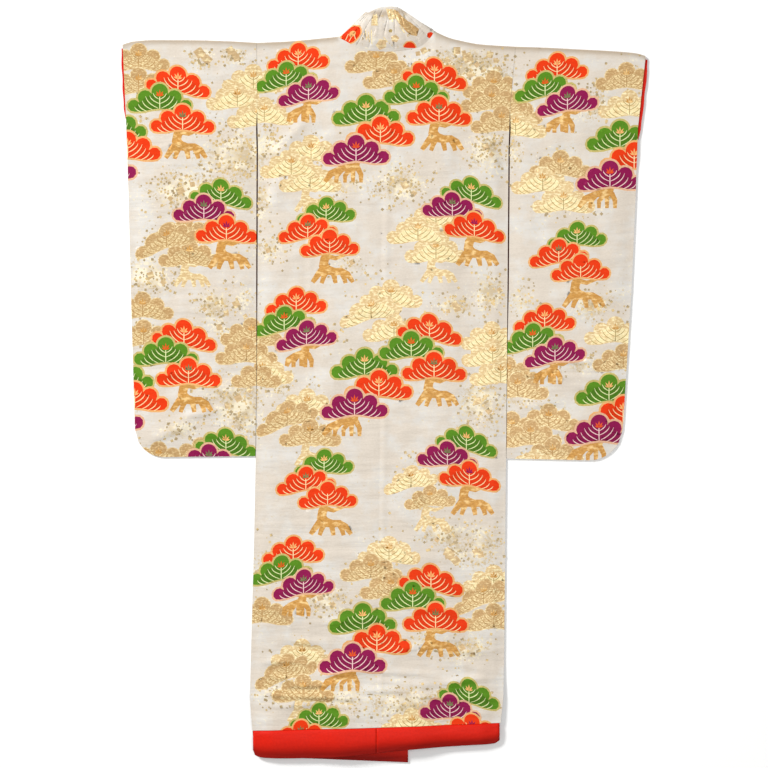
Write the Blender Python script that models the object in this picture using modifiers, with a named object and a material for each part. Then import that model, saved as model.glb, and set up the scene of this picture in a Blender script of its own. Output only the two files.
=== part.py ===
"""A long lined bridal over-kimono, laid flat on its front with its back uppermost.

The frame is in metres. Z points up from the surface, +Y towards the collar and +X
towards the garment's right sleeve as seen from above. Left and right are those of
that view, which are also the wearer's. Every panel is one open sheet, bent by a
formula from a grid, and given its wall by Solidify.
"""

import math

import bmesh
import bpy
import numpy as np

# Walls and clearances
WALL = 0.0020
COLLAR_WALL = 0.0024
CLEAR = 0.0005
SEAM = 0.0005
COLLAR_SEAM = 0.0012
COLLAR_FOLD_SEAM = 0.0017

# Heights of each layer's middle above the surface
FLOOR_MID = WALL / 2
TOUCH_MID = FLOOR_MID + WALL + CLEAR
COLLAR_LEFT_MID = COLLAR_WALL / 2
OVERLAP_RIGHT_MID = COLLAR_WALL + CLEAR + WALL / 2
COLLAR_RIGHT_MID = COLLAR_WALL + CLEAR + COLLAR_WALL / 2
OVER_COLLAR = 0.0004
BACK_OVER_MID = 2 * (COLLAR_WALL + CLEAR) + WALL / 2 + OVER_COLLAR
PUFF = 0.0026
PUFF_REACH = 0.028
SHOULDER_TOP_MID = 0.0070
NECK_TOP_MID = 0.0088
SHOULDER_BLEND = 0.050
SHOULDER_FOLD_Y = 0.8600

# Where the back climbs from two layers on to four, and the top edge grows fuller
BACK_CLIMB_LEFT_X = -0.195
BACK_CLIMB_RIGHT_X = 0.215
BACK_CLIMB = 0.075
FULLER_LEFT_X = -0.210
FULLER_RIGHT_X = 0.220
FULLER_BLEND = 0.080
LAP_BLEND = 0.060

# Body panels: where the side edges and the centre back seam run, at each height
BODY_COLUMNS = ("place", "y", "left", "seam", "right")
BODY_ROWS = (
    ("shoulder", 0.7900, -0.3184, -0.0090, 0.3222),
    ("armhole end", 0.6850, -0.3178, -0.0090, 0.3130),
    ("open side", 0.5900, -0.3158, -0.0090, 0.3095),
    ("waist", 0.2400, -0.3170, -0.0095, 0.3070),
    ("sleeve hem", -0.1500, -0.3207, -0.0112, 0.3037),
    ("thigh", -0.3800, -0.3252, -0.0140, 0.3014),
    ("knee", -0.7000, -0.3340, -0.0183, 0.2985),
    ("calf", -0.7800, -0.3360, -0.0190, 0.2965),
    ("hem", -0.8600, -0.3300, -0.0195, 0.2895),
)

# The top edge from the left sleeve seam, round the back of the neck, to the right one.
# Each row: place, x, y.
TOP_ROWS = (
    ("left sleeve seam", -0.3188, 0.8545),
    ("left shoulder", -0.2488, 0.8575),
    ("left shoulder", -0.1738, 0.8638),
    ("left neck point", -0.1112, 0.8700),
    ("left neck", -0.0950, 0.8572),
    ("left neck", -0.0720, 0.8430),
    ("left neck", -0.0420, 0.8350),
    ("back neck", -0.0090, 0.8325),
    ("right neck", 0.0250, 0.8325),
    ("right neck", 0.0600, 0.8365),
    ("right neck", 0.0900, 0.8455),
    ("right neck", 0.1120, 0.8640),
    ("right neck point", 0.1238, 0.8838),
    ("right shoulder", 0.1388, 0.8762),
    ("right shoulder", 0.1638, 0.8662),
    ("right shoulder", 0.1888, 0.8600),
    ("right shoulder", 0.2388, 0.8508),
    ("right sleeve seam", 0.3262, 0.8450),
)
TOP_LEFT_X = -0.3188
TOP_RIGHT_X = 0.3262
SLOPE_STEP = 0.002
NECK_LEFT_X = -0.1112
NECK_RIGHT_X = 0.1238
LEFT_NECK_FOLD_Y = 0.8651
RIGHT_NECK_FOLD_Y = 0.8804

# Hems of the three layers: their height at the left and right end of each
BACK_HEM = {"left_x": -0.330, "left_y": -0.8620, "right_x": 0.2895, "right_y": -0.8425}
LEFT_FRONT_HEM = {"left_x": -0.330, "left_y": -0.8750, "right_x": 0.0588, "right_y": -0.8850}
RIGHT_FRONT_HEM = {"left_x": -0.094, "left_y": -0.8480, "right_x": 0.2895, "right_y": -0.8430}
BACK_HEM_Y = -0.8550
FRONT_HEM_Y = -0.8600
BELOW_HEM_Y = -0.8900

# Front edges: the inner edge of each front, and the narrow overlap panel sewn to it
LEFT_INNER_X = -0.1010
RIGHT_INNER_X = 0.0570
LEFT_EDGE_X = 0.0588
RIGHT_EDGE_X = -0.0940
COLLAR_END_Y = 0.0200
POINT_Y = 0.5900
COLLAR_FRONT_WIDTH = 0.0550
FRONT_SIDE_INSET = 0.0010
BESIDE_COLLAR = 0.0007
BELOW_COLLAR = 0.0060
BELOW_POINT = 0.0220
OVERLAP_COLUMNS = (0.0, 0.34, 0.67, 1.0)
OVERLAP_LOW_HEIGHTS = (-0.84, -0.80, -0.76, -0.70, -0.50, -0.25)
OVERLAP_HIGH_HEIGHTS = (0.21, 0.40)

# Sleeves: the gap to the body, and the outline at each height
GAP_COLUMNS = ("place", "y", "top_layer", "under_layer")
GAP_ROWS = (
    ("below", 0.0800, 0.0012, 0.0007),
    ("meets", 0.2400, 0.0036, 0.0007),
    ("open", 0.6400, 0.0038, 0.0007),
    ("sewn", 0.6850, 0.0005, 0.0005),
)
SLEEVE_LEFT = {
    "side": -1,
    "bottom": -0.1775,
    "bottom_slope": -0.0030,
    "corner": 0.070,
    "cuff": 0.187,
    "top": (
        (-0.3188, 0.8545),
        (-0.3870, 0.8585),
        (-0.4720, 0.8610),
        (-0.5780, 0.8615),
        (-0.6300, 0.8575),
        (-0.6535, 0.8500),
    ),
    "outer": (
        (0.8460, -0.6535),
        (0.6400, -0.6442),
        (0.4800, -0.6395),
        (0.2400, -0.6335),
        (-0.0800, -0.6240),
        (-0.1900, -0.6205),
    ),
}
SLEEVE_RIGHT = {
    "side": 1,
    "bottom": -0.1835,
    "bottom_slope": -0.0060,
    "corner": 0.078,
    "cuff": 0.213,
    "top": (
        (0.3262, 0.8450),
        (0.3900, 0.8430),
        (0.4800, 0.8385),
        (0.5800, 0.8330),
        (0.6280, 0.8285),
        (0.6515, 0.8220),
    ),
    "outer": (
        (0.8180, 0.6515),
        (0.6400, 0.6325),
        (0.4800, 0.6275),
        (0.2400, 0.6170),
        (-0.0800, 0.5970),
        (-0.1950, 0.5880),
    ),
}
CUFF_FADE_START = 0.030
CUFF_FADE = 0.055
ARMHOLE_OPENS_Y = 0.500
ARMHOLE_OPEN_RISE = 0.150
SIDE_PUFF = 0.25
CORNER_SCALE = 0.30
CORNER_ANGLES = (0, 22, 45, 66, 90)

# The red lining that shows past each cuff
LINING_WALL = 0.0020
LINING_MID = 0.0036
LINING_INSIDE = 0.018
LINING_SHOWS = {"left": 0.0050, "right": 0.0085}
LINING_BELOW_TOP = 0.0055
LINING_ABOVE_CUFF = 0.0120
LINING_COLUMNS = (0.0, 0.5, 0.78, 1.0)
LINING_ROWS = 8
LINING_END_SHARES = (0.25, 0.90, 0.70)

# Padded hem rolls
FRONT_ROLL = 0.0080
RIGHT_ROLL = 0.0070
BACK_ROLL = 0.0140
END_ROLL = 0.0045
ROLL_SIDES = 12
ROLL_SQUARENESS = 0.75
ROLL_STEP = 0.0004
ROLL_END_SPACING = 0.007
ROLL_END_SHARE = 0.60
ROLL_NEAR_END_SHARE = 0.90
ROLL_THINS_OVER = 0.055
BACK_ROLL_END = 0.0100
BACK_ROLL_THINS_OVER = 0.050
RIGHT_ROLL_CLIMB_X = 0.066
RIGHT_ROLL_CLIMB = 0.094
LEFT_ROLL_CLIMB = 0.100
ROLL_STATIONS = (
    -0.300, -0.270, -0.240, -0.200, -0.170, -0.140, -0.120, -0.100, -0.070, -0.040,
    0.000, 0.035, 0.066, 0.090, 0.115, 0.140, 0.170, 0.200, 0.230, 0.260,
)
# Each row: place, x, y of the outer edge.
BACK_ROLL_ROWS = (
    ("left end", -0.3280, -0.9100),
    ("left turn", -0.3220, -0.9240),
    ("left", -0.3050, -0.9292),
    ("left", -0.2500, -0.9305),
    ("middle", -0.1450, -0.9280),
    ("middle", 0.0588, -0.9080),
    ("right", 0.2000, -0.8985),
    ("right turn", 0.2740, -0.8940),
    ("right end", 0.2870, -0.8860),
)
FRONT_ROLL_LEFT_X = -0.3240
FRONT_ROLL_RIGHT_X = 0.2835
BACK_ROLL_LEFT_X = -0.3280
BACK_ROLL_RIGHT_X = 0.2870
LEFT_ROLL_ROWS = (
    ("left end", -0.3240, -0.9140),
    ("left", -0.3000, -0.9270),
    ("middle", -0.1400, -0.9345),
    ("right", 0.0588, -0.9425),
)
RIGHT_ROLL_ROWS = (
    ("left end", -0.0940, -0.8900),
    ("middle", 0.1000, -0.8885),
    ("right", 0.2700, -0.8860),
    ("right end", 0.2835, -0.8790),
)
BACK_LIFT_LENGTH = 0.16
RIGHT_LIFT_LENGTH = 0.10
LEFT_LIFT_LENGTH = 0.04

# The largest creases, as soft ridges. Each row: place, middle x, middle y, heading in
# degrees from +X, length, width, height.
CREASES = (
    ("under left arm", -0.225, 0.620, 46, 0.20, 0.030, 0.0040),
    ("below left arm", -0.262, 0.500, 62, 0.16, 0.026, 0.0026),
    ("below right arm", 0.250, 0.560, -50, 0.20, 0.030, 0.0034),
    ("right shoulder, upper", 0.215, 0.826, -9, 0.20, 0.014, 0.0030),
    ("right shoulder, lower", 0.235, 0.785, -14, 0.18, 0.018, 0.0024),
    ("left shoulder", -0.190, 0.815, 12, 0.16, 0.018, 0.0022),
    ("below the neck", 0.020, 0.745, 4, 0.22, 0.034, 0.0026),
    ("small of the back", 0.120, 0.330, -24, 0.26, 0.034, 0.0026),
    ("hip, left", -0.180, -0.020, 18, 0.24, 0.036, 0.0028),
    ("hip, right", 0.175, -0.130, -12, 0.22, 0.034, 0.0026),
    ("skirt, middle", 0.078, -0.350, -44, 0.20, 0.032, 0.0036),
    ("skirt, storage fold", -0.010, -0.428, 1, 0.50, 0.020, 0.0020),
    ("skirt, left", -0.240, -0.560, 10, 0.20, 0.030, 0.0032),
    ("skirt, right", 0.165, -0.620, -8, 0.26, 0.030, 0.0030),
    ("calf, middle", -0.020, -0.690, 3, 0.34, 0.026, 0.0036),
    ("calf, right", 0.165, -0.745, -7, 0.22, 0.022, 0.0034),
    ("above the hem, left", -0.200, -0.775, 5, 0.26, 0.020, 0.0036),
    ("above the hem, middle", 0.030, -0.795, -2, 0.30, 0.018, 0.0032),
    ("left sleeve, upper", -0.500, 0.470, 8, 0.22, 0.036, 0.0028),
    ("left sleeve, middle", -0.445, 0.190, -6, 0.24, 0.034, 0.0026),
    ("left sleeve, low", -0.470, -0.030, 6, 0.28, 0.024, 0.0034),
    ("left sleeve, lowest", -0.500, -0.098, 10, 0.24, 0.022, 0.0036),
    ("right sleeve, upper", 0.470, 0.500, -10, 0.22, 0.036, 0.0028),
    ("right sleeve, middle", 0.455, 0.215, 4, 0.24, 0.032, 0.0026),
    ("right sleeve, low", 0.455, 0.028, -4, 0.30, 0.018, 0.0038),
    ("right sleeve, lowest", 0.470, -0.085, 6, 0.26, 0.026, 0.0032),
)

# The collar band. Each row is one rib across it: where its seam edge is, where its
# free edge is, and how far its middle stands off the straight line between them.
# A front's seam place is a height, a fold's an angle and the back neck's an x.
# Each row: part, place on the seam, free edge's x, y and z, standing off in x, y and z.
COLLAR_RIBS = (
    ("left front", 0.020, 0.0588, 0.0200, 0.0012, 0, 0, 0),
    ("left front", 0.210, 0.0255, 0.2180, 0.0012, 0, 0, 0),
    ("left front", 0.400, -0.0080, 0.4080, 0.0012, 0, 0, 0),
    ("left front", 0.590, -0.0415, 0.5980, 0.0012, 0, 0, 0),
    ("left front", 0.690, -0.0300, 0.7100, 0.0012, 0, 0, 0),
    ("left front", 0.790, -0.0150, 0.8350, 0.0012, 0, 0, 0),
    ("left fold", 180, -0.0390, 0.9170, 0.0012, 0.002, -0.003, 0),
    ("left fold", 135, -0.0445, 0.9265, 0.0026, 0.000, -0.004, 0.0006),
    ("left fold", 90, -0.0472, 0.9305, 0.0052, -0.001, -0.004, 0.0016),
    ("left fold", 45, -0.0455, 0.9300, 0.0076, 0.000, -0.003, 0.0032),
    ("left fold", 0, -0.0400, 0.9275, 0.0092, 0.002, -0.003, 0.0050),
    ("back neck", -0.095, -0.0315, 0.9320, 0.0098, 0, 0, 0.0075),
    ("back neck", -0.072, -0.0171, 0.9392, 0.0098, 0, 0, 0.0096),
    ("back neck", -0.042, -0.0016, 0.9426, 0.0094, 0, 0, 0.0108),
    ("back neck", -0.009, 0.0140, 0.9436, 0.0092, 0, 0, 0.0112),
    ("back neck", 0.025, 0.0270, 0.9428, 0.0092, 0, 0, 0.0112),
    ("back neck", 0.060, 0.0365, 0.9400, 0.0092, 0, 0, 0.0106),
    ("back neck", 0.090, 0.0425, 0.9362, 0.0092, 0, 0, 0.0090),
    ("back neck", 0.112, 0.0465, 0.9335, 0.0092, 0, 0, 0.0068),
    ("right fold", 0, 0.0490, 0.9320, 0.0088, 0, 0, 0.0046),
    ("right fold", 45, 0.0498, 0.9312, 0.0080, 0, 0, 0.0028),
    ("right fold", 90, 0.0500, 0.9300, 0.0066, 0, 0, 0.0012),
    ("right fold", 135, 0.0490, 0.9280, 0.0050, 0, 0, 0.0003),
    ("right fold", 180, 0.0470, 0.9240, 0.0041, 0, 0, 0),
    ("right front", 0.790, 0.0060, 0.8450, 0.0041, 0, 0, 0),
    ("right front", 0.690, -0.0080, 0.7150, 0.0041, 0, 0, 0),
    ("right front", 0.590, 0.0005, 0.6020, 0.0041, 0, 0, 0),
    ("right front", 0.400, -0.0309, 0.4080, 0.0041, 0, 0, 0),
    ("right front", 0.210, -0.0625, 0.2180, 0.0041, 0, 0, 0),
    ("right front", 0.020, -0.0940, 0.0200, 0.0041, 0, 0, 0),
)
COLLAR_ACROSS = 5
COLLAR_STEPS = 2

# Grid stations. Each column is named by its x at the top edge, each row by its height.
LEFT_COLUMNS = (-0.3188, -0.3030, -0.2780, -0.2480, -0.2150, -0.1800, -0.1450, -0.1112)
LEFT_NECK_COLUMNS = (-0.0950, -0.0720, -0.0420)
RIGHT_COLUMNS = (0.3262, 0.3100, 0.2850, 0.2550, 0.2220, 0.1900, 0.1560, 0.1238)
RIGHT_NECK_COLUMNS = (0.1120, 0.0900, 0.0600, 0.0250)
HEM_ZONE_Y = -0.7000
SHOULDER_ZONE_Y = 0.7900
HEM_ZONE_ROWS = (0.0, 0.13, 0.27, 0.41, 0.55, 0.70, 0.85)
FRONT_HEM_ZONE_ROWS = (0.0, 0.10, 0.22, 0.40, 0.65)
LOWER_HEIGHTS = (-0.700, -0.635, -0.570, -0.505, -0.440, -0.380, -0.320, -0.260, -0.205, -0.150)
UPPER_HEIGHTS = (
    -0.080, -0.020, 0.040, 0.080, 0.130, 0.185, 0.240, 0.300, 0.360, 0.420,
    0.480, 0.535, 0.590, 0.640, 0.685, 0.735, 0.790,
)
FRONT_HEIGHTS = (0.790, 0.735, 0.685, 0.640, 0.590, 0.420, 0.240, 0.080, -0.150, -0.380, -0.700)
SHOULDER_ZONE_ROWS = (0.35, 0.65, 0.86)
FOLD_ANGLES = (45, 90, 135)
SLEEVE_ZONE_Y = -0.0800
SLEEVE_ZONE_ROWS = (0.0, 0.15, 0.35, 0.65)

# The shift that puts the origin under the middle of the garment's box
TO_MIDDLE = (0.0001, -0.0007, 0.0)

# Colours: linear red, green and blue
WHITE_BROCADE = (0.79, 0.75, 0.67, 1.0)
RED_LINING = (0.62, 0.018, 0.010, 1.0)


def smooth(share):
    """A soft step from 0 to 1."""
    share = min(1.0, max(0.0, share))
    return share * share * (3 - 2 * share)


def mix(a, b, share):
    return a + (b - a) * share


def table_at(columns, rows, column, y):
    """A column of a table, read at height y."""
    ordered = sorted(rows, key=lambda row: row[1])
    index = columns.index(column)
    return float(np.interp(y, [row[1] for row in ordered], [row[index] for row in ordered]))


def gentle_curve(points, x):
    """A smooth curve through points in order of x, which never swings past them."""
    xs = np.array([point[0] for point in points])
    ys = np.array([point[1] for point in points])
    steps = np.diff(xs)
    rises = np.diff(ys) / steps
    slopes = np.zeros(len(xs))
    slopes[0], slopes[-1] = rises[0], rises[-1]
    for i in range(1, len(xs) - 1):
        if rises[i - 1] * rises[i] > 0:
            slopes[i] = 2 / (1 / rises[i - 1] + 1 / rises[i])
    x = min(max(x, xs[0]), xs[-1])
    i = int(min(max(np.searchsorted(xs, x) - 1, 0), len(xs) - 2))
    h = steps[i]
    t = (x - xs[i]) / h
    start = (2 * t**3 - 3 * t**2 + 1) * ys[i] + (t**3 - 2 * t**2 + t) * h * slopes[i]
    end = (3 * t**2 - 2 * t**3) * ys[i + 1] + (t**3 - t**2) * h * slopes[i + 1]
    return float(start + end)


def top_edge(x):
    """The garment's top edge in plan: three smooth stretches that meet at the neck points."""
    if x <= NECK_LEFT_X:
        low, high = TOP_LEFT_X, NECK_LEFT_X
    elif x <= NECK_RIGHT_X:
        low, high = NECK_LEFT_X, NECK_RIGHT_X
    else:
        low, high = NECK_RIGHT_X, TOP_RIGHT_X
    return gentle_curve([row[1:] for row in TOP_ROWS if low <= row[1] <= high], x)


def hem_line(hem, x):
    share = (x - hem["left_x"]) / (hem["right_x"] - hem["left_x"])
    return mix(hem["left_y"], hem["right_y"], share)


def side_x(side, y):
    return table_at(BODY_COLUMNS, BODY_ROWS, "left" if side < 0 else "right", y)


def seam_x(y):
    return table_at(BODY_COLUMNS, BODY_ROWS, "seam", y)


def inner_x(side, y):
    """The inner edge of a front: straight below the overlap's point, then out to the neck."""
    if side < 0:
        return float(np.interp(y, [POINT_Y, LEFT_NECK_FOLD_Y], [LEFT_INNER_X, NECK_LEFT_X]))
    return float(np.interp(y, [POINT_Y, RIGHT_NECK_FOLD_Y], [RIGHT_INNER_X, NECK_RIGHT_X]))


def collar_seam_x(side, y):
    """Where the collar is sewn on below the neck, slanting to the overlap panel's front edge."""
    if y >= POINT_Y:
        return inner_x(side, y)
    low = LEFT_EDGE_X - COLLAR_FRONT_WIDTH if side < 0 else RIGHT_EDGE_X + COLLAR_FRONT_WIDTH
    high = LEFT_INNER_X if side < 0 else RIGHT_INNER_X
    return mix(low, high, (y - COLLAR_END_Y) / (POINT_Y - COLLAR_END_Y))


def creases(x, y):
    """Height that the creases add at a point of the top layer."""
    total = 0.0
    for _, centre_x, centre_y, heading, length, width, height in CREASES:
        turn = math.radians(heading)
        along = (x - centre_x) * math.cos(turn) + (y - centre_y) * math.sin(turn)
        across = (y - centre_y) * math.cos(turn) - (x - centre_x) * math.sin(turn)
        ends = (2 * along / length) ** 2
        if ends < 1:
            total += height * (1 - ends) ** 2 * math.exp(-((across / width) ** 2))
    return total


def openness(y):
    """1 where the armhole joins body and sleeve, 0 along the closed side seam."""
    return smooth((y - ARMHOLE_OPENS_Y) / ARMHOLE_OPEN_RISE)


def away_from(distance):
    """0 at a closed edge, rising to 1 inside it."""
    return 1 - math.exp(-((max(distance, 0.0) / PUFF_REACH) ** 2))


def roll_thickness(x, full, end_x):
    """A front's hem roll thins towards the side seam, where it turns under."""
    return mix(END_ROLL, full, smooth(abs(x - end_x) / ROLL_THINS_OVER))


def right_roll_mid(x):
    """The right front's roll climbs from the surface on to the left front's."""
    low = roll_thickness(x, RIGHT_ROLL, FRONT_ROLL_RIGHT_X) / 2
    high = FRONT_ROLL + ROLL_STEP + RIGHT_ROLL / 2
    return mix(high, low, smooth((x - RIGHT_ROLL_CLIMB_X) / RIGHT_ROLL_CLIMB))


def roll_top(x):
    """The top of what lies under the back's hem roll."""
    if x >= RIGHT_EDGE_X:
        return right_roll_mid(x) + roll_thickness(x, RIGHT_ROLL, FRONT_ROLL_RIGHT_X) / 2
    low = roll_thickness(x, FRONT_ROLL, FRONT_ROLL_LEFT_X)
    climb = smooth((x - RIGHT_EDGE_X + LEFT_ROLL_CLIMB) / LEFT_ROLL_CLIMB)
    return low + (ROLL_STEP + RIGHT_ROLL) * climb


def back_roll_thickness(x):
    end = min(abs(x - BACK_ROLL_LEFT_X), abs(x - BACK_ROLL_RIGHT_X))
    return mix(BACK_ROLL_END, BACK_ROLL, smooth(end / BACK_ROLL_THINS_OVER))


def back_roll_mid(x):
    return roll_top(x) + ROLL_STEP + back_roll_thickness(x) / 2


def shoulder_top(x):
    """Height of the top edge's middle: a soft fold, fuller beside the neck."""
    nearness = smooth((x - FULLER_LEFT_X) / FULLER_BLEND) * smooth((FULLER_RIGHT_X - x) / FULLER_BLEND)
    return mix(SHOULDER_TOP_MID, NECK_TOP_MID, nearness)


def back_height(side, x, y):
    """Height of the back's middle: on two layers at the sides and on four between."""
    rise = smooth((x - BACK_CLIMB_LEFT_X) / BACK_CLIMB) * smooth((BACK_CLIMB_RIGHT_X - x) / BACK_CLIMB)
    base = mix(TOUCH_MID, BACK_OVER_MID, rise)
    inside = away_from(abs(x - side_x(side, y)))
    height = base + max(inside, openness(y)) * PUFF + inside * creases(x, y)
    lift = smooth(1 - (y - hem_line(BACK_HEM, x)) / BACK_LIFT_LENGTH)
    height = mix(height, back_roll_mid(x), lift)
    return mix(height, shoulder_top(x), smooth(1 - (top_edge(x) - y) / SHOULDER_BLEND))


def front_height(side, x, y):
    """Height of a front's middle. The right front laps over the left one."""
    if side < 0:
        lift = smooth(1 - (y - hem_line(LEFT_FRONT_HEM, x)) / LEFT_LIFT_LENGTH)
        return mix(FLOOR_MID, roll_thickness(x, FRONT_ROLL, FRONT_ROLL_LEFT_X) / 2, lift)
    lapped = 1 - smooth((x - inner_x(1, y)) / LAP_BLEND)
    lift = smooth(1 - (y - hem_line(RIGHT_FRONT_HEM, x)) / RIGHT_LIFT_LENGTH)
    return mix(mix(FLOOR_MID, OVERLAP_RIGHT_MID, lapped), right_roll_mid(x), lift)


def clear_scene():
    for obj in list(bpy.data.objects):
        bpy.data.objects.remove(obj, do_unlink=True)


def material(name, colour, roughness):
    made = bpy.data.materials.new(name)
    made.use_nodes = True
    shader = made.node_tree.nodes["Principled BSDF"]
    shader.inputs["Base Color"].default_value = colour
    shader.inputs["Roughness"].default_value = roughness
    shader.inputs["Metallic"].default_value = 0.0
    return made


def add_object(name, bm, finish, collection):
    """Makes an object of a bmesh, moved so that the origin is under the middle of the whole."""
    bmesh.ops.translate(bm, verts=bm.verts, vec=TO_MIDDLE)
    bmesh.ops.recalc_face_normals(bm, faces=bm.faces)
    mesh = bpy.data.meshes.new(name)
    bm.to_mesh(mesh)
    bm.free()
    mesh.shade_smooth()
    mesh.materials.append(finish)
    obj = bpy.data.objects.new(name, mesh)
    collection.objects.link(obj)
    return obj


def give_wall(obj, thickness):
    """Turns an open sheet into cloth of that thickness, half on each side."""
    wall = obj.modifiers.new("wall", "SOLIDIFY")
    wall.thickness = thickness
    wall.offset = 0.0


def bent_grid(columns, rows, place, keep=lambda i, j: True):
    """A grid of columns by rows, with each point moved to place(column, row)."""
    bm = bmesh.new()
    across, along = len(columns) - 1, len(rows) - 1
    bmesh.ops.create_grid(bm, x_segments=across, y_segments=along, size=1.0)
    left_out = []
    for vert in bm.verts:
        i = round((vert.co.x + 1) / 2 * across)
        j = round((vert.co.y + 1) / 2 * along)
        if keep(i, j):
            vert.co = place(columns[i], rows[j])
        else:
            left_out.append(vert)
    bmesh.ops.delete(bm, geom=left_out, context="VERTS")
    return bm


def fold_point(x, top_y, top_z, under_z, angle):
    """On a fold from a top layer to the one under it. Angle 0 is where it leaves the top."""
    radius = (top_z - under_z) / 2
    centre_y = top_y - WALL / 2 - radius
    turn = math.radians(angle)
    return (x, centre_y + radius * math.sin(turn), under_z + radius * (1 + math.cos(turn)))


def shoulder_point(side, x, angle):
    return fold_point(x, top_edge(x), shoulder_top(x), front_height(side, x, SHOULDER_FOLD_Y), angle)


def across_back(side, top_x, y):
    """Where the column that starts at top_x on the shoulder or neck stands at height y."""
    edge = TOP_LEFT_X if side < 0 else TOP_RIGHT_X
    seam = seam_x(y) + side * SEAM / 2
    top_seam = seam_x(SHOULDER_ZONE_Y) + side * SEAM / 2
    return mix(side_x(side, y), seam, (top_x - edge) / (top_seam - edge))


def across_front(side, top_x, y):
    """The same on the front, whose columns run from the side edge to the inner edge."""
    edge = TOP_LEFT_X if side < 0 else TOP_RIGHT_X
    neck = NECK_LEFT_X if side < 0 else NECK_RIGHT_X
    share = (top_x - edge) / (neck - edge)
    inset = side * FRONT_SIDE_INSET * (1 - openness(y)) * (1 - share)
    return mix(side_x(side, y), inner_x(side, y), share) - inset


def back_point(side, top_x, row):
    """On the back: in the zone above the hem, at a level, or in the zone below the top."""
    zone, value = row
    on_shoulder = top_x <= NECK_LEFT_X or top_x >= NECK_RIGHT_X
    if zone == "top":
        top_y = shoulder_point(side, top_x, 0)[1] if on_shoulder else top_edge(top_x)
        y = mix(SHOULDER_ZONE_Y, top_y, value)
        x = mix(across_back(side, top_x, SHOULDER_ZONE_Y), top_x, value)
    else:
        hem = hem_line(BACK_HEM, across_back(side, top_x, BACK_HEM_Y))
        y = mix(hem, HEM_ZONE_Y, value) if zone == "hem" else value
        x = across_back(side, top_x, y)
    return (x, y, back_height(side, x, y))


def front_point(side, top_x, row):
    """On the front, in the same three zones."""
    zone, value = row
    if zone == "top":
        top_y = shoulder_point(side, top_x, 180)[1]
        y = mix(SHOULDER_ZONE_Y, top_y, value)
        x = mix(across_front(side, top_x, SHOULDER_ZONE_Y), top_x, value)
    else:
        hem = LEFT_FRONT_HEM if side < 0 else RIGHT_FRONT_HEM
        hem = hem_line(hem, across_front(side, top_x, FRONT_HEM_Y))
        y = mix(hem, HEM_ZONE_Y, value) if zone == "hem" else value
        x = across_front(side, top_x, y)
    return (x, y, front_height(side, x, y))


def build_body(name, side, finish, collection):
    """One length of cloth from the back hem, over the shoulder, to the front hem."""
    shoulder = LEFT_COLUMNS if side < 0 else RIGHT_COLUMNS
    neck = LEFT_NECK_COLUMNS if side < 0 else RIGHT_NECK_COLUMNS
    columns = [*shoulder, *neck, seam_x(SHOULDER_ZONE_Y) + side * SEAM / 2]
    back = [("hem", share) for share in HEM_ZONE_ROWS]
    back += [("level", y) for y in (*LOWER_HEIGHTS, *UPPER_HEIGHTS)]
    back += [("top", share) for share in (*SHOULDER_ZONE_ROWS, 1.0)]
    front = [("top", share) for share in (1.0, *reversed(SHOULDER_ZONE_ROWS))]
    front += [("level", y) for y in FRONT_HEIGHTS]
    front += [("hem", share) for share in reversed(FRONT_HEM_ZONE_ROWS)]
    rows = [(back_point, row) for row in back]
    rows += [(shoulder_point, angle) for angle in FOLD_ANGLES]
    rows += [(front_point, row) for row in front]

    def place(top_x, row):
        maker, where = row
        return maker(side, top_x, where)

    def keep(i, j):
        return j < len(back) or i < len(shoulder)

    sheet = add_object(name, bent_grid(columns, rows, place, keep), finish, collection)
    give_wall(sheet, WALL)


def build_overlap(name, side, finish, collection):
    """The narrow panel down the front edge, tapering to a point below the neck."""
    hem = LEFT_FRONT_HEM if side < 0 else RIGHT_FRONT_HEM
    edge = LEFT_EDGE_X if side < 0 else RIGHT_EDGE_X
    beside_collar = COLLAR_END_Y - BESIDE_COLLAR
    heights = [*OVERLAP_LOW_HEIGHTS, COLLAR_END_Y - BELOW_COLLAR, beside_collar]
    heights += [*OVERLAP_HIGH_HEIGHTS, POINT_Y - BELOW_POINT]

    def place(share, y):
        front = collar_seam_x(side, y) + side * SEAM if y >= beside_collar else edge
        x = mix(inner_x(side, y) - side * SEAM, front, share)
        y = max(y, hem_line(hem, x))
        if side < 0:
            lift = smooth(1 - (y - hem_line(hem, x)) / LEFT_LIFT_LENGTH)
            return (x, y, mix(FLOOR_MID, FRONT_ROLL / 2, lift))
        lift = smooth(1 - (y - hem_line(hem, x)) / RIGHT_LIFT_LENGTH)
        return (x, y, mix(OVERLAP_RIGHT_MID, right_roll_mid(x), lift))

    rows = [-1.0, *heights] if side < 0 else [-1.0, *heights[1:]]
    sheet = add_object(name, bent_grid(OVERLAP_COLUMNS, rows, place), finish, collection)
    give_wall(sheet, WALL)


def sleeve_outer_x(sleeve, y):
    rows = sorted(sleeve["outer"])
    return float(np.interp(y, [row[0] for row in rows], [row[1] for row in rows]))


def sleeve_inner_x(sleeve, y, layer):
    gap = table_at(GAP_COLUMNS, GAP_ROWS, layer, y)
    return side_x(sleeve["side"], y) + sleeve["side"] * gap


def sleeve_top_x(sleeve, share):
    inner = sleeve["top"][0][0] + sleeve["side"] * SEAM
    return mix(inner, sleeve["top"][-1][0], share)


def sleeve_fold(sleeve, share, angle):
    """On a sleeve's fold, which starts where its upper layer ends."""
    x = sleeve_top_x(sleeve, share)
    return fold_point(x, gentle_curve(sorted(sleeve["top"]), x), SHOULDER_TOP_MID, FLOOR_MID, angle)


def sleeve_bottom_y(sleeve, share):
    """The bottom edge, with the outer corner rounded."""
    low, corner = sleeve["bottom"], sleeve["corner"]
    width = abs(sleeve_outer_x(sleeve, low) - sleeve_inner_x(sleeve, low, "top_layer"))
    level = low + sleeve["bottom_slope"] * share
    into = max(corner - (1 - share) * width, 0.0)
    return level + corner - math.sqrt(corner**2 - into**2)


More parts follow.
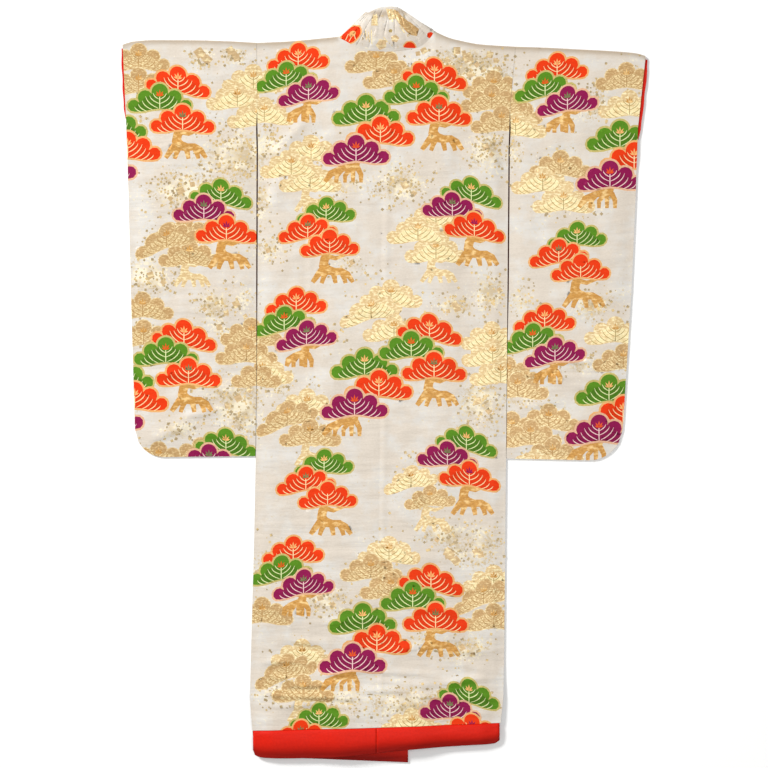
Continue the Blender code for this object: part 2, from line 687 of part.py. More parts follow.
def sleeve_height(sleeve, share, x, y):
    """Height of a sleeve's upper layer: closed at the bottom, open at the cuff."""
    below_top = sleeve_fold(sleeve, share, 0)[1] - y
    outside = away_from(abs(sleeve_outer_x(sleeve, y) - x))
    inside = away_from(abs(x - side_x(sleeve["side"], y)))
    bottom = away_from(y - sleeve_bottom_y(sleeve, share))
    in_cuff = 1 - smooth((below_top - sleeve["cuff"] - CUFF_FADE_START) / CUFF_FADE)
    beside_body = SIDE_PUFF + (1 - SIDE_PUFF) * inside
    puff = PUFF * bottom * max(outside, in_cuff) * max(beside_body, openness(y))
    height = TOUCH_MID + puff + outside * inside * bottom * creases(x, y)
    return mix(height, SHOULDER_TOP_MID, smooth(1 - below_top / SHOULDER_BLEND))


def sleeve_point(sleeve, layer, share, row):
    """On a sleeve's upper or under layer: above the bottom edge, at a level, or below the fold."""
    zone, value = row
    if zone == "top":
        inner = sleeve_inner_x(sleeve, SHOULDER_ZONE_Y, layer)
        low = mix(inner, sleeve_outer_x(sleeve, SHOULDER_ZONE_Y), share)
        high = sleeve_fold(sleeve, share, 0)
        x, y = mix(low, high[0], value), mix(SHOULDER_ZONE_Y, high[1], value)
    else:
        y = mix(sleeve_bottom_y(sleeve, share), SLEEVE_ZONE_Y, value) if zone == "bottom" else value
        x = mix(sleeve_inner_x(sleeve, y, layer), sleeve_outer_x(sleeve, y), share)
    level = sleeve_height(sleeve, share, x, y) if layer == "top_layer" else FLOOR_MID
    return (x, y, level)


def sleeve_columns(sleeve):
    """Shares across a sleeve, closer together round the outer corner."""
    corner = sleeve["corner"] / CORNER_SCALE
    turned = [1 - corner * (1 - math.sin(math.radians(angle))) for angle in CORNER_ANGLES]
    return [0.0, 0.07, *np.linspace(0.18, turned[0], 6)[:-1], *turned]


def build_sleeve(name, sleeve, finish, collection):
    """One length folded over at the shoulder line, open at the cuff and towards the body."""
    upper = [("bottom", share) for share in SLEEVE_ZONE_ROWS]
    upper += [("level", y) for y in UPPER_HEIGHTS]
    upper += [("top", share) for share in (*SHOULDER_ZONE_ROWS, 1.0)]
    under = [("top", share) for share in (1.0, *reversed(SHOULDER_ZONE_ROWS))]
    under += [("level", y) for y in FRONT_HEIGHTS if y > SLEEVE_ZONE_Y]
    under += [("level", SLEEVE_ZONE_Y), ("bottom", 0.35), ("bottom", 0.0)]
    rows = [("top_layer", row) for row in upper]
    rows += [("fold", angle) for angle in FOLD_ANGLES]
    rows += [("under_layer", row) for row in under]

    def place(share, row):
        layer, where = row
        if layer == "fold":
            return sleeve_fold(sleeve, share, where)
        return sleeve_point(sleeve, layer, share, where)

    sheet = add_object(name, bent_grid(sleeve_columns(sleeve), rows, place), finish, collection)
    give_wall(sheet, WALL)


def build_cuff_lining(name, sleeve, shows, finish, collection):
    """The red lining's edge, which stands out past the cuff between the sleeve's two layers."""
    side = sleeve["side"]
    high = sleeve["outer"][0][0] - LINING_BELOW_TOP
    heights = list(np.linspace(high - sleeve["cuff"] + LINING_ABOVE_CUFF, high, LINING_ROWS))
    ends = dict(zip((heights[0], heights[1], heights[-1]), LINING_END_SHARES))

    def place(share, y):
        reach = shows * ends.get(y, 1.0)
        return (sleeve_outer_x(sleeve, y) + side * mix(-LINING_INSIDE, reach, share), y, LINING_MID)

    sheet = add_object(name, bent_grid(LINING_COLUMNS, heights, place), finish, collection)
    give_wall(sheet, LINING_WALL)


def collar_seam_point(part, at):
    """The collar's seam edge: along the fronts, round the shoulder folds and the back neck."""
    side = -1 if part.startswith("left") else 1
    level = COLLAR_LEFT_MID if side < 0 else COLLAR_RIGHT_MID
    if part.endswith("front"):
        return (collar_seam_x(side, at) - side * COLLAR_SEAM, at, level)
    if part.endswith("fold"):
        x, y, z = shoulder_point(side, NECK_LEFT_X if side < 0 else NECK_RIGHT_X, at)
        return (x - side * COLLAR_FOLD_SEAM, y + COLLAR_SEAM / 2, level if at == 180 else z)
    slope = (top_edge(at + SLOPE_STEP) - top_edge(at - SLOPE_STEP)) / (2 * SLOPE_STEP)
    length = math.hypot(1.0, slope)
    return (at - COLLAR_SEAM * slope / length, top_edge(at) + COLLAR_SEAM / length, NECK_TOP_MID)


def along_ribs(points, at):
    """A point between the table's, on a smooth curve through them all."""
    last = len(points) - 1
    i = min(int(at), last - 1)
    t = at - i
    p = [points[min(max(i + k, 0), last)] for k in (-1, 0, 1, 2)]
    return 0.5 * (
        2 * p[1]
        + (p[2] - p[0]) * t
        + (2 * p[0] - 5 * p[1] + 4 * p[2] - p[3]) * t**2
        + (3 * p[1] - p[0] - 3 * p[2] + p[3]) * t**3
    )


def build_collar(name, finish, collection):
    """One band sewn round the neck and down both front edges."""
    seams = np.array([collar_seam_point(*row[:2]) for row in COLLAR_RIBS])
    frees = np.array([row[2:5] for row in COLLAR_RIBS])
    offs = np.array([row[5:8] for row in COLLAR_RIBS])
    last = len(COLLAR_RIBS) - 1
    stations = np.linspace(0, last, last * COLLAR_STEPS + 1)

    def place(share, at):
        i = min(int(at), last - 1)
        seam = mix(seams[i], seams[i + 1], at - i)
        free = along_ribs(frees, at)
        free[2] = max(free[2], COLLAR_LEFT_MID if at < last / 2 else COLLAR_RIGHT_MID)
        return mix(seam, free, share) + 4 * share * (1 - share) * mix(offs[i], offs[i + 1], at - i)

    bm = bent_grid(list(np.linspace(0, 1, COLLAR_ACROSS)), list(stations), place)
    give_wall(add_object(name, bm, finish, collection), COLLAR_WALL)


def roll_ring(x, inner_y, outer_y, mid_z, thickness):
    """One section of a padded roll, squarer than an ellipse and flat underneath."""
    half_y, half_z = (inner_y - outer_y) / 2, thickness / 2
    flat = math.cos(math.pi / ROLL_SIDES) ** ROLL_SQUARENESS
    ring = []
    for k in range(ROLL_SIDES + 1):
        turn = 2 * math.pi * (k + 0.5) / ROLL_SIDES
        c, s = math.cos(turn), math.sin(turn)
        y = outer_y + half_y * (1 + math.copysign(abs(c) ** ROLL_SQUARENESS, c) / flat)
        z = mid_z + half_z * math.copysign(abs(s) ** ROLL_SQUARENESS, s) / flat
        ring.append((x, y, z))
    return ring


def build_roll(name, ends, round_ends, section, finish, collection):
    """A padded hem roll, lofted through its sections and closed at both ends."""
    low, high = ends
    clear = 2 * ROLL_END_SPACING
    stations = [low, low + ROLL_END_SPACING]
    stations += [x for x in ROLL_STATIONS if low + clear < x < high - clear]
    stations += [high - ROLL_END_SPACING, high]
    rings = {x: list(section(x)) for x in stations}
    for x, near, rounded in ((low, stations[1], round_ends[0]), (high, stations[-2], round_ends[1])):
        if rounded:
            rings[x][3] *= ROLL_END_SHARE
            rings[near][3] *= ROLL_NEAR_END_SHARE
    rings = {x: roll_ring(x, *rings[x]) for x in stations}
    bm = bent_grid(list(range(ROLL_SIDES + 1)), stations, lambda k, x: rings[x][k])
    bmesh.ops.remove_doubles(bm, verts=bm.verts, dist=1e-6)
    bmesh.ops.holes_fill(bm, edges=[edge for edge in bm.edges if edge.is_boundary])
    add_object(name, bm, finish, collection)


def back_roll_section(x):
    outer = gentle_curve([row[1:] for row in BACK_ROLL_ROWS], x)
    return hem_line(BACK_HEM, x) - SEAM, outer, back_roll_mid(x), back_roll_thickness(x)


def left_roll_section(x):
    outer = gentle_curve([row[1:] for row in LEFT_ROLL_ROWS], x)
    thickness = roll_thickness(x, FRONT_ROLL, FRONT_ROLL_LEFT_X)
    return hem_line(LEFT_FRONT_HEM, x) - SEAM, outer, thickness / 2, thickness


def right_roll_section(x):
    outer = gentle_curve([row[1:] for row in RIGHT_ROLL_ROWS], x)
    thickness = roll_thickness(x, RIGHT_ROLL, FRONT_ROLL_RIGHT_X)
    return hem_line(RIGHT_FRONT_HEM, x) - SEAM, outer, right_roll_mid(x), thickness


def main():
    clear_scene()
    collection = bpy.data.collections.new("kimono")
    bpy.context.scene.collection.children.link(collection)
    brocade = material("white silk brocade", WHITE_BROCADE, 0.62)
    lining = material("red silk lining", RED_LINING, 0.55)
    build_body("body_left", -1, brocade, collection)
    build_body("body_right", 1, brocade, collection)
    build_overlap("overlap_left", -1, brocade, collection)
    build_overlap("overlap_right", 1, brocade, collection)
    build_sleeve("sleeve_left", SLEEVE_LEFT, brocade, collection)
    build_sleeve("sleeve_right", SLEEVE_RIGHT, brocade, collection)
    build_collar("collar", brocade, collection)
    build_cuff_lining("cuff_lining_left", SLEEVE_LEFT, LINING_SHOWS["left"], lining, collection)
    build_cuff_lining("cuff_lining_right", SLEEVE_RIGHT, LINING_SHOWS["right"], lining, collection)
    centre = seam_x(BELOW_HEM_Y)
    left_back = (BACK_ROLL_LEFT_X, centre - SEAM / 2)
    right_back = (centre + SEAM / 2, BACK_ROLL_RIGHT_X)
    left_front = (FRONT_ROLL_LEFT_X, LEFT_EDGE_X)
    right_front = (RIGHT_EDGE_X, FRONT_ROLL_RIGHT_X)
    build_roll("hem_roll_back_left", left_back, (True, False), back_roll_section, lining, collection)
    build_roll("hem_roll_back_right", right_back, (False, True), back_roll_section, lining, collection)
    build_roll("hem_roll_front_left", left_front, (True, False), left_roll_section, lining, collection)
    build_roll("hem_roll_front_right", right_front, (False, True), right_roll_section, lining, collection)


main()
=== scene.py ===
# %% [markdown]
# # A bridal over-kimono, laid flat with its back uppermost
# The real garment is white silk brocade, lined with red silk and padded along its hem.
# It lies on its front, so the camera looks straight down on its back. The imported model
# gives the size and place of each cloth panel, and the cells below dress every panel.

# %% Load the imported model
import math
from functools import partial

import bpy
import numpy as np
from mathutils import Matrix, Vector
from mathutils.geometry import delaunay_2d_cdt


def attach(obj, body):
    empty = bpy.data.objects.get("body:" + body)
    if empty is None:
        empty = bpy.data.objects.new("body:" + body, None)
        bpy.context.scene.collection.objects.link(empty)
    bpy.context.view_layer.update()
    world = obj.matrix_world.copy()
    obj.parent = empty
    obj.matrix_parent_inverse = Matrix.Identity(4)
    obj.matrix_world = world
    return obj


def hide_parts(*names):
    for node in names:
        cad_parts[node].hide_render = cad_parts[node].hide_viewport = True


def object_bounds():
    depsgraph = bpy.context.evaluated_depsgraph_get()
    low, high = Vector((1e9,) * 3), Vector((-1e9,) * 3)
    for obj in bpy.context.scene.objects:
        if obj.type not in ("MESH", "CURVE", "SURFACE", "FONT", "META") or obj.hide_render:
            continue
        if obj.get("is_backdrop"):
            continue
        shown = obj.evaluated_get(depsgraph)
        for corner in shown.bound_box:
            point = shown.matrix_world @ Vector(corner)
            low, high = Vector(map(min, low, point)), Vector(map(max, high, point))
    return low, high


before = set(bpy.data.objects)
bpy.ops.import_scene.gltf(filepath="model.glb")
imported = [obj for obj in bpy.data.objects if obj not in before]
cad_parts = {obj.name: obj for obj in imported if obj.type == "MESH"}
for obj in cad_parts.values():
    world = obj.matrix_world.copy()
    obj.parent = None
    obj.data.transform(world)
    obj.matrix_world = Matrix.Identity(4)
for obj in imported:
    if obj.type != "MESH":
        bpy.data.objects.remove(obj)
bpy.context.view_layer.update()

# %% [markdown]
# ## Camera
# The garment was photographed from straight above. A long lens far away keeps the sleeves
# from leaning outwards. One pixel of the 768 pixel view is 2.5 mm on the floor.

# %% Camera
VIEW_WIDTH = 1.92
VIEW_MIDDLE = (-0.00115, 0.0018)
LENS = 85.0
SENSOR = 36.0
scene = bpy.context.scene


def add_object(name, data):
    """Puts a mesh, lamp or camera into the scene as an object."""
    obj = bpy.data.objects.new(name, data)
    scene.collection.objects.link(obj)
    return obj


camera_data = bpy.data.cameras.new("camera")
camera_data.lens = LENS
camera_data.sensor_width = SENSOR
camera = add_object("camera", camera_data)
camera.location = (*VIEW_MIDDLE, VIEW_WIDTH * LENS / SENSOR)
scene.camera = camera
scene.view_settings.view_transform = "Standard"
print("camera height:", round(camera.location.z, 3))

# %% [markdown]
# ## Floor and light
# A plain pale floor and soft light. A large lamp stands to the upper left, so that the low
# creases of the cloth throw soft shading. A weaker lamp hangs above, and the pale world
# fills the rest.

# %% Functions that add nodes
def linear(hex_colour):
    """An sRGB hex colour as linear red, green, blue and alpha."""
    parts = [int(hex_colour[i:i + 2], 16) / 255 for i in (1, 3, 5)]
    return (*[p / 12.92 if p <= 0.04045 else ((p + 0.055) / 1.055) ** 2.4 for p in parts], 1.0)


def add_node(tree, kind, given=()):
    """Adds a node. A socket that is given is linked, and any other value is set."""
    node = tree.nodes.new(kind)
    for name, value in dict(given).items():
        if isinstance(value, bpy.types.NodeSocket):
            tree.links.new(value, node.inputs[name])
        elif isinstance(name, str) and hasattr(node, name):
            setattr(node, name, value)
        else:
            node.inputs[name].default_value = value
    return node


def noise(tree, place, scale, detail=2.0, roughness=0.5):
    """Soft random noise."""
    given = {"Scale": scale, "Detail": detail, "Roughness": roughness, "Vector": place}
    return add_node(tree, "ShaderNodeTexNoise", given).outputs[0]


def spread(tree, value, low, high, top=1.0):
    """Stretches what lies between low and high over 0 to 1, or up to the top."""
    given = {"From Min": low, "From Max": high, "To Max": top, "Value": value}
    return add_node(tree, "ShaderNodeMapRange", given).outputs[0]


def blend(tree, share, *ends):
    """A colour between two ends, each of them a hex colour or a socket."""
    ends = {k: linear(end) if isinstance(end, str) else end for k, end in enumerate(ends, 1)}
    return add_node(tree, "ShaderNodeMixRGB", {0: share, **ends}).outputs[0]


def maths(tree, operation, *values):
    """A number worked out from numbers and sockets."""
    given = {"operation": operation, **dict(enumerate(values))}
    return add_node(tree, "ShaderNodeMath", given).outputs[0]


def new_material(name, roughness, gloss=0.5, sheen=0.0, metallic=0.0):
    """A material, its node tree and the inputs of its shader."""
    made = bpy.data.materials.new(name)
    made.use_nodes = True
    inputs = made.node_tree.nodes["Principled BSDF"].inputs
    inputs["Roughness"].default_value = roughness
    inputs["Specular IOR Level"].default_value = gloss
    inputs["Sheen Weight"].default_value = sheen
    inputs["Metallic"].default_value = metallic
    return made, made.node_tree, inputs


# %% Floor and light
FLOOR_SIZE = 14.0
WORLD_STRENGTH = 0.355


def painted_floor(name, colour, other):
    """Matt pale paint, with a trace of unevenness."""
    made, tree, inputs = new_material(name, roughness=0.9, gloss=0.1)
    cloud = noise(tree, add_node(tree, "ShaderNodeTexCoord").outputs["Object"], scale=3.0)
    tree.links.new(blend(tree, cloud, colour, other), inputs["Base Color"])
    return made


def soft_lamp(name, place, size, power):
    """A round lamp that faces the middle of the garment."""
    lamp = bpy.data.lights.new(name, "AREA")
    lamp.shape = "DISK"
    lamp.size = size
    lamp.energy = power
    obj = add_object(name, lamp)
    obj.location = place
    obj.rotation_euler = (-Vector(place)).to_track_quat("-Z", "Y").to_euler()


half = FLOOR_SIZE / 2
floor_mesh = bpy.data.meshes.new("floor")
floor_mesh.from_pydata([(-half, -half, 0), (half, -half, 0), (half, half, 0), (-half, half, 0)], [],
                       [(0, 1, 2, 3)])
floor_mesh.materials.append(painted_floor("pale floor paint", "#FBFBFA", "#F9F9F8"))
floor = add_object("floor", floor_mesh)
floor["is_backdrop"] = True

soft_lamp("key", (-6.4, 5.4, 5.1), size=2.4, power=990.0)
soft_lamp("top", (0.5, -0.3, 3.9), size=2.6, power=56.0)
world = bpy.data.worlds.new("pale room")
world.use_nodes = True
background = world.node_tree.nodes["Background"].inputs
background["Color"].default_value = (1.0, 1.0, 1.0, 1.0)
background["Strength"].default_value = WORLD_STRENGTH
scene.world = world
print("floor and lamps are set")

# %% [markdown]
# ## Silk
# Silk brocade is a white satin ground, over which coloured wefts are woven only where the
# pattern needs them. Satin has a soft, broad gleam, so its roughness is near a half and it
# has a little sheen. Its threads are a tenth of a millimetre apart, far too fine to show,
# so the ribs of the weave are drawn about 1.2 mm apart. All the patterns use the panel's own
# cloth coordinates in metres, as its UV map, so that they run with the cloth over a fold.

# %% Silk materials
WEAVE = 0.0012
WEAVE_DEPTH = 0.00012
WAVE_PERIOD = 2 * math.pi / 20
GRAIN_STRETCH = (0.55, 1.0, 1.0)
GRAIN_SPREAD = 0.25
# Stretch of the painted reflection patches, and where they start and are full past their threshold
REFLECTION_STRETCH = (1.0, 1.9, 1.0)
REFLECTION_STARTS = -0.07
REFLECTION_FULL = 0.09
CRINKLES = (7.0, 34.0, 1.0)
CRINKLE_HEIGHT = 0.0050
DUST = "gold dust"
# Attribute that holds the painted shade along the shoulder folds and the collar
FOLD_SHADE = "painted shade at the fold"


def cloth_map(tree):
    return add_node(tree, "ShaderNodeTexCoord").outputs["UV"]


def scaled(tree, place, scale):
    return add_node(tree, "ShaderNodeMapping", {"Scale": scale, "Vector": place}).outputs[0]


def attribute(tree, name):
    return add_node(tree, "ShaderNodeAttribute", {"attribute_name": name}).outputs["Fac"]


def woven_silk(name, light, dark, grain=0.0022, contrast=1.0, roughness=0.5, gloss=0.10,
               sheen=0.0, metallic=0.0, painted_reflection=None, reflection_from=0.5, reflection_size=0.045):
    """Woven silk: two close colours in a fine grain, with the weft's ribs as a bump, and patches of
    painted reflection if asked.
    """
    made, tree, inputs = new_material(name, roughness, gloss, sheen, metallic)
    cloth = cloth_map(tree)
    threads = noise(tree, scaled(tree, cloth, GRAIN_STRETCH), 1 / grain)
    reach = GRAIN_SPREAD / contrast
    colour = blend(tree, spread(tree, threads, 0.5 - reach, 0.5 + reach), light, dark)
    # Painted reflection: patches of another colour where the gilt would catch or miss the light
    if painted_reflection:
        patches = noise(tree, scaled(tree, cloth, REFLECTION_STRETCH), 1 / reflection_size, detail=3.0)
        reflecting = spread(tree, patches, reflection_from + REFLECTION_STARTS, reflection_from + REFLECTION_FULL)
        colour = blend(tree, reflecting, colour, painted_reflection)
    tree.links.new(colour, inputs["Base Color"])
    ribs = add_node(tree, "ShaderNodeTexWave",
                    {"bands_direction": "Y", "Scale": WAVE_PERIOD / WEAVE, "Distortion": 1.5,
                     "Detail": 1.0, "Vector": cloth})
    ribbed = add_node(tree, "ShaderNodeBump", {"Strength": 0.6, "Distance": WEAVE_DEPTH,
                                               "Height": ribs.outputs["Fac"]})
    crinkles = noise(tree, scaled(tree, cloth, CRINKLES), 1.0, detail=3.0)
    crinkled = add_node(tree, "ShaderNodeBump",
                        {"Strength": 0.8, "Distance": CRINKLE_HEIGHT, "Height": crinkles,
                         "Normal": ribbed.outputs[0]})
    tree.links.new(crinkled.outputs[0], inputs["Normal"])
    return made


def colour_input(made):
    return made.node_tree.nodes["Principled BSDF"].inputs["Base Color"]


def white_ground(name):
    """The satin ground: warm white, with a mist of gold where the cloth's map asks for it, and
    painted shade where it turns over a fold.
    """
    made = woven_silk(name, "#D7CCBE", "#CDC2B3", grain=0.003, roughness=0.46, gloss=0.3, sheen=0.1)
    tree = made.node_tree
    plain = colour_input(made).links[0].from_socket
    cloth = cloth_map(tree)
    cloud = noise(tree, cloth, 14.0, detail=4.0, roughness=0.6)
    paler = blend(tree, spread(tree, cloud, 0.45, 0.62), plain, "#D5D0C8")
    fine = noise(tree, cloth, 130.0, detail=3.0, roughness=0.75)
    spotty = maths(tree, "MULTIPLY", attribute(tree, DUST), 0.30)
    broad = maths(tree, "MULTIPLY_ADD", cloud, 0.45, -0.14)
    amount = maths(tree, "ADD", fine, maths(tree, "ADD", spotty, broad))
    tone = spread(tree, noise(tree, cloth, 24.0), 0.42, 0.58)
    gold = blend(tree, tone, "#C6B28E", "#EDE1C2")
    misty = blend(tree, spread(tree, amount, 0.70, 0.82, top=0.9), paler, gold)
    # Painted shade: the colour goes towards grey brown where the cloth turns over a fold
    fold_shade = blend(tree, attribute(tree, FOLD_SHADE), misty, "#A08C72")
    tree.links.new(fold_shade, colour_input(made))
    return made


def padded_silk(name):
    """The lining over the hem's wadding: bright red on top, with painted shade darkening it where
    the roll turns under.
    """
    made = woven_silk(name, "#D81F0C", "#CA1B0A", grain=0.003, roughness=0.46, gloss=0.12)
    tree = made.node_tree
    # Painted shade: the red darkens towards the roll's lower side
    around = add_node(tree, "ShaderNodeSeparateXYZ", {0: cloth_map(tree)}).outputs["Y"]
    turned = add_node(tree, "ShaderNodeMapRange", {"interpolation_type": "SMOOTHSTEP",
                      "From Min": 0.022, "From Max": 0.040, "Value": around})
    plain = colour_input(made).links[0].from_socket
    tree.links.new(blend(tree, turned.outputs[0], plain, "#8E1006"), colour_input(made))
    return made


def gold_leaf(name, dark, light):
    """Tiny squares of gilt paper, each a little lighter or darker than the next."""
    made, tree, inputs = new_material(name, roughness=0.4, metallic=0.2)
    place = add_node(tree, "ShaderNodeTexCoord").outputs["Object"]
    tone = spread(tree, noise(tree, place, 90.0, detail=1.0), 0.40, 0.60)
    tree.links.new(blend(tree, tone, dark, light), inputs["Base Color"])
    return made


# Coloured wefts are glossy floss, so they gleam more than the ground. Gold thread is gilt paper
# round a silk core: a soft metal gleam, never a mirror. Patches of painted reflection make it
# lighter where the gilt would catch the light, and on the pale gold darker where it would miss it.
# Each row: the silk's name, light and dark colour, grain, contrast, roughness, gloss, sheen, metal,
# and the painted reflection's colour, threshold and size.
WOVEN_SILKS = {
    "orange": ("orange silk floss", "#E63C0A", "#DB3206"),
    "orange_low": ("orange floss between ribs", "#DE3C0C", "#CC3006", 0.0035, 1.4),
    "green": ("green silk floss", "#5A8C1E", "#4D7C18"),
    "green_low": ("green floss between ribs", "#4F7A1C", "#426914", 0.0035, 1.5),
    "purple": ("purple silk floss", "#921650", "#801044"),
    "purple_low": ("purple floss between ribs", "#8A1848", "#741040", 0.0035, 1.5),
    "edge": ("peach gold thread edge", "#E6B073", "#D79C5E", 0.003, 1.5, 0.4),
    "green_edge": ("olive gold thread edge", "#C9BA74", "#B2A25C", 0.003, 1.5, 0.4),
    "purple_edge": ("rose gold thread edge", "#E2B892", "#D4A180", 0.003, 1.5, 0.4),
    "cream": ("cream rib thread", "#F6DCAA", "#F0CC96", 0.004, 1.0, 0.42),
    "lime": ("pale green rib thread", "#E4E8B2", "#D4DC98", 0.004, 1.0, 0.42),
    "pink": ("pale pink rib thread", "#EFD2CA", "#E6BCBA", 0.004, 1.0, 0.42),
    "peach": ("peach gold sprout", "#F0B878", "#E8A45E", 0.004, 1.0, 0.42),
    "flame": ("orange red sprout", "#E2440F", "#DC6024", 0.004, 1.6),
    "moss": ("grey green sprout", "#7C8658", "#5E6C40", 0.004, 1.6),
    "tan": ("tan gold thread", "#C29D6A", "#B18B58", 0.004, 1.2, 0.36, 0.3, 0.0, 0.15,
            "#DFC490", 0.58, 0.007),
    "tan_low": ("tan gold between ribs", "#CAA976", "#B89462", 0.004, 1.2, 0.36, 0.3, 0.0, 0.15,
                "#EBD6A2", 0.52, 0.006),
    "sand": ("sand gold thread", "#D8BC8A", "#CBAA76", 0.004, 1.4, 0.36, 0.3, 0.0, 0.15,
             "#F0E0B2", 0.54, 0.009),
    "pale_gold": ("pale gold thread", "#F6E8BA", "#EAD69E", 0.005, 1.4, 0.36, 0.3, 0.0, 0.1,
                  "#D8BA84", 0.55, 0.014),
    "trunk": ("ochre trunk thread", "#CF9A4C", "#B67F38", 0.004, 1.4, 0.42, 0.3, 0.0, 0.1,
              "#EEC988", 0.58, 0.018),
    "tan_rib": ("ochre rib thread", "#B38A54", "#A27A46", 0.004),
    "grey_rib": ("grey gold rib thread", "#AE9660", "#9C8450", 0.004),
    "leaf": ("gold leaf squares", "#CDB084", "#BA9C70", 0.006, 1.5, 0.34, 0.3, 0.0, 0.2,
             "#EBD8A8", 0.58, 0.015),
    "lining": ("red silk lining", "#D2220F", "#BE1A0C", 0.003, 1.0, 0.48, 0.12),
    # Painted shade: the lining inside the layers is painted a near-black red, as it lies in shadow
    "inside": ("red lining in painted shade", "#4A0E0A", "#3C0B08", 0.003, 1.0, 0.6, 0.05),
}
SILKS = {"ground": white_ground("white satin ground")}
SILKS.update({silk: woven_silk(*row) for silk, row in WOVEN_SILKS.items()})
SILKS["padded"] = padded_silk("red silk over wadding")
FLECK = gold_leaf("gold leaf flecks", "#A08C68", "#D2B680")
print("silks:", len(SILKS))

# %% [markdown]
# ## The garment's measures
# Every panel was cut from straight lengths of cloth about a third of a metre wide. The
# tables below give each edge in metres, the same as in the solid model, and the functions
# after them say how high each layer of cloth lies. They work on whole lists of points at
# once, because the panels have tens of thousands of them.

# %% Tables of the outline
WALL = 0.0020
COLLAR_WALL = 0.0024
CLEAR = 0.0005
SEAM = 0.0005
CENTRE_SEAM = 0.00002
COLLAR_SEAM = 0.0003
COLLAR_FOLD_SEAM = 0.0008
FLOOR_MID = WALL / 2
TOUCH_MID = FLOOR_MID + WALL + CLEAR
COLLAR_LEFT_MID = COLLAR_WALL / 2
OVERLAP_RIGHT_MID = COLLAR_WALL + CLEAR + WALL / 2
COLLAR_RIGHT_MID = COLLAR_WALL + CLEAR + COLLAR_WALL / 2
OVER_COLLAR = 0.0004
BACK_OVER_MID = 2 * (COLLAR_WALL + CLEAR) + WALL / 2 + OVER_COLLAR
PUFF = 0.0026
PUFF_REACH = 0.028
SEAM_REACH = 0.006
SEAM_DEPTH = 0.0005
SHOULDER_TOP_MID = 0.0070
NECK_TOP_MID = 0.0088
SHOULDER_BLEND = 0.050
SHOULDER_FOLD_Y = 0.8600
# Where the back lies over four layers, and where the shoulders are fuller: ends and blend
BACK_CLIMB = (-0.195, 0.215, 0.075)
FULLER = (-0.210, 0.220, 0.080)
LAP_BLEND = 0.060
ARMHOLE_OPENS_Y = 0.500
ARMHOLE_OPEN_RISE = 0.150
TO_MIDDLE = np.array((0.0001, -0.0007, 0.0))

# Height, left side edge, centre seam, right side edge
BODY_ROWS = (
    (0.7900, -0.3184, -0.0090, 0.3222),
    (0.6850, -0.3178, -0.0090, 0.3130),
    (0.5900, -0.3158, -0.0090, 0.3095),
    (0.2400, -0.3170, -0.0095, 0.3070),
    (-0.1500, -0.3207, -0.0112, 0.3037),
    (-0.3800, -0.3252, -0.0140, 0.3014),
    (-0.7000, -0.3340, -0.0183, 0.2985),
    (-0.7800, -0.3360, -0.0190, 0.2965),
    (-0.8600, -0.3300, -0.0195, 0.2895),
)
LEFT_SHOULDER = ((-0.3188, 0.8545), (-0.2488, 0.8575), (-0.1738, 0.8638), (-0.1112, 0.8700))
NECKLINE = (
    (-0.1112, 0.8700), (-0.0950, 0.8572), (-0.0720, 0.8430), (-0.0420, 0.8350),
    (-0.0090, 0.8325), (0.0250, 0.8325), (0.0600, 0.8365), (0.0900, 0.8455),
    (0.1120, 0.8640), (0.1238, 0.8838),
)
RIGHT_SHOULDER = (
    (0.1238, 0.8838), (0.1388, 0.8762), (0.1638, 0.8662), (0.1888, 0.8600),
    (0.2388, 0.8508), (0.3262, 0.8450),
)
# What differs between left and right is given for -1, the left, and 1, the right
TOP_X = {-1: -0.3188, 1: 0.3262}
NECK_X = {-1: -0.1112, 1: 0.1238}
NECK_FOLD_Y = {-1: 0.8651, 1: 0.8804}
INNER_X = {-1: -0.1010, 1: 0.0570}
EDGE_X = {-1: 0.0588, 1: -0.0940}
COLLAR_END_Y = 0.0200
POINT_Y = 0.5900
COLLAR_FRONT_WIDTH = 0.0550
SHOULDER_ZONE_Y = 0.7900
BACK_HEM = (-0.330, -0.8620, 0.2895, -0.8425)
FRONT_HEM = {-1: (-0.330, -0.8750, 0.0588, -0.8850), 1: (-0.094, -0.8480, 0.2895, -0.8430)}
LIFT_LENGTH = {-1: 0.04, 1: 0.10}
BACK_LIFT_LENGTH = 0.16
HEM_CREASES = 3.0
HEM_END_Y = -0.8600
MIDDLE_KINK_Y = -0.7000
FRONT_KINK_Y = 0.6850
FRONT_SIDE_INSET = 0.0010
BESIDE_COLLAR = 0.0007
BELOW_COLLAR = 0.0060
BELOW_POINT = 0.0220

FRONT_ROLL = 0.0080
RIGHT_ROLL = 0.0070
BACK_ROLL = 0.0140
END_ROLL = 0.0045
ROLL_STEP = 0.0004
ROLL_THINS_OVER = 0.055
BACK_ROLL_END = 0.0100
BACK_ROLL_THINS_OVER = 0.050
RIGHT_ROLL_CLIMB_X = 0.066
RIGHT_ROLL_CLIMB = 0.094
LEFT_ROLL_CLIMB = 0.100
FRONT_ROLL_LEFT_X = -0.3240
FRONT_ROLL_RIGHT_X = 0.2835
BACK_ROLL_X = (-0.3280, 0.2870)

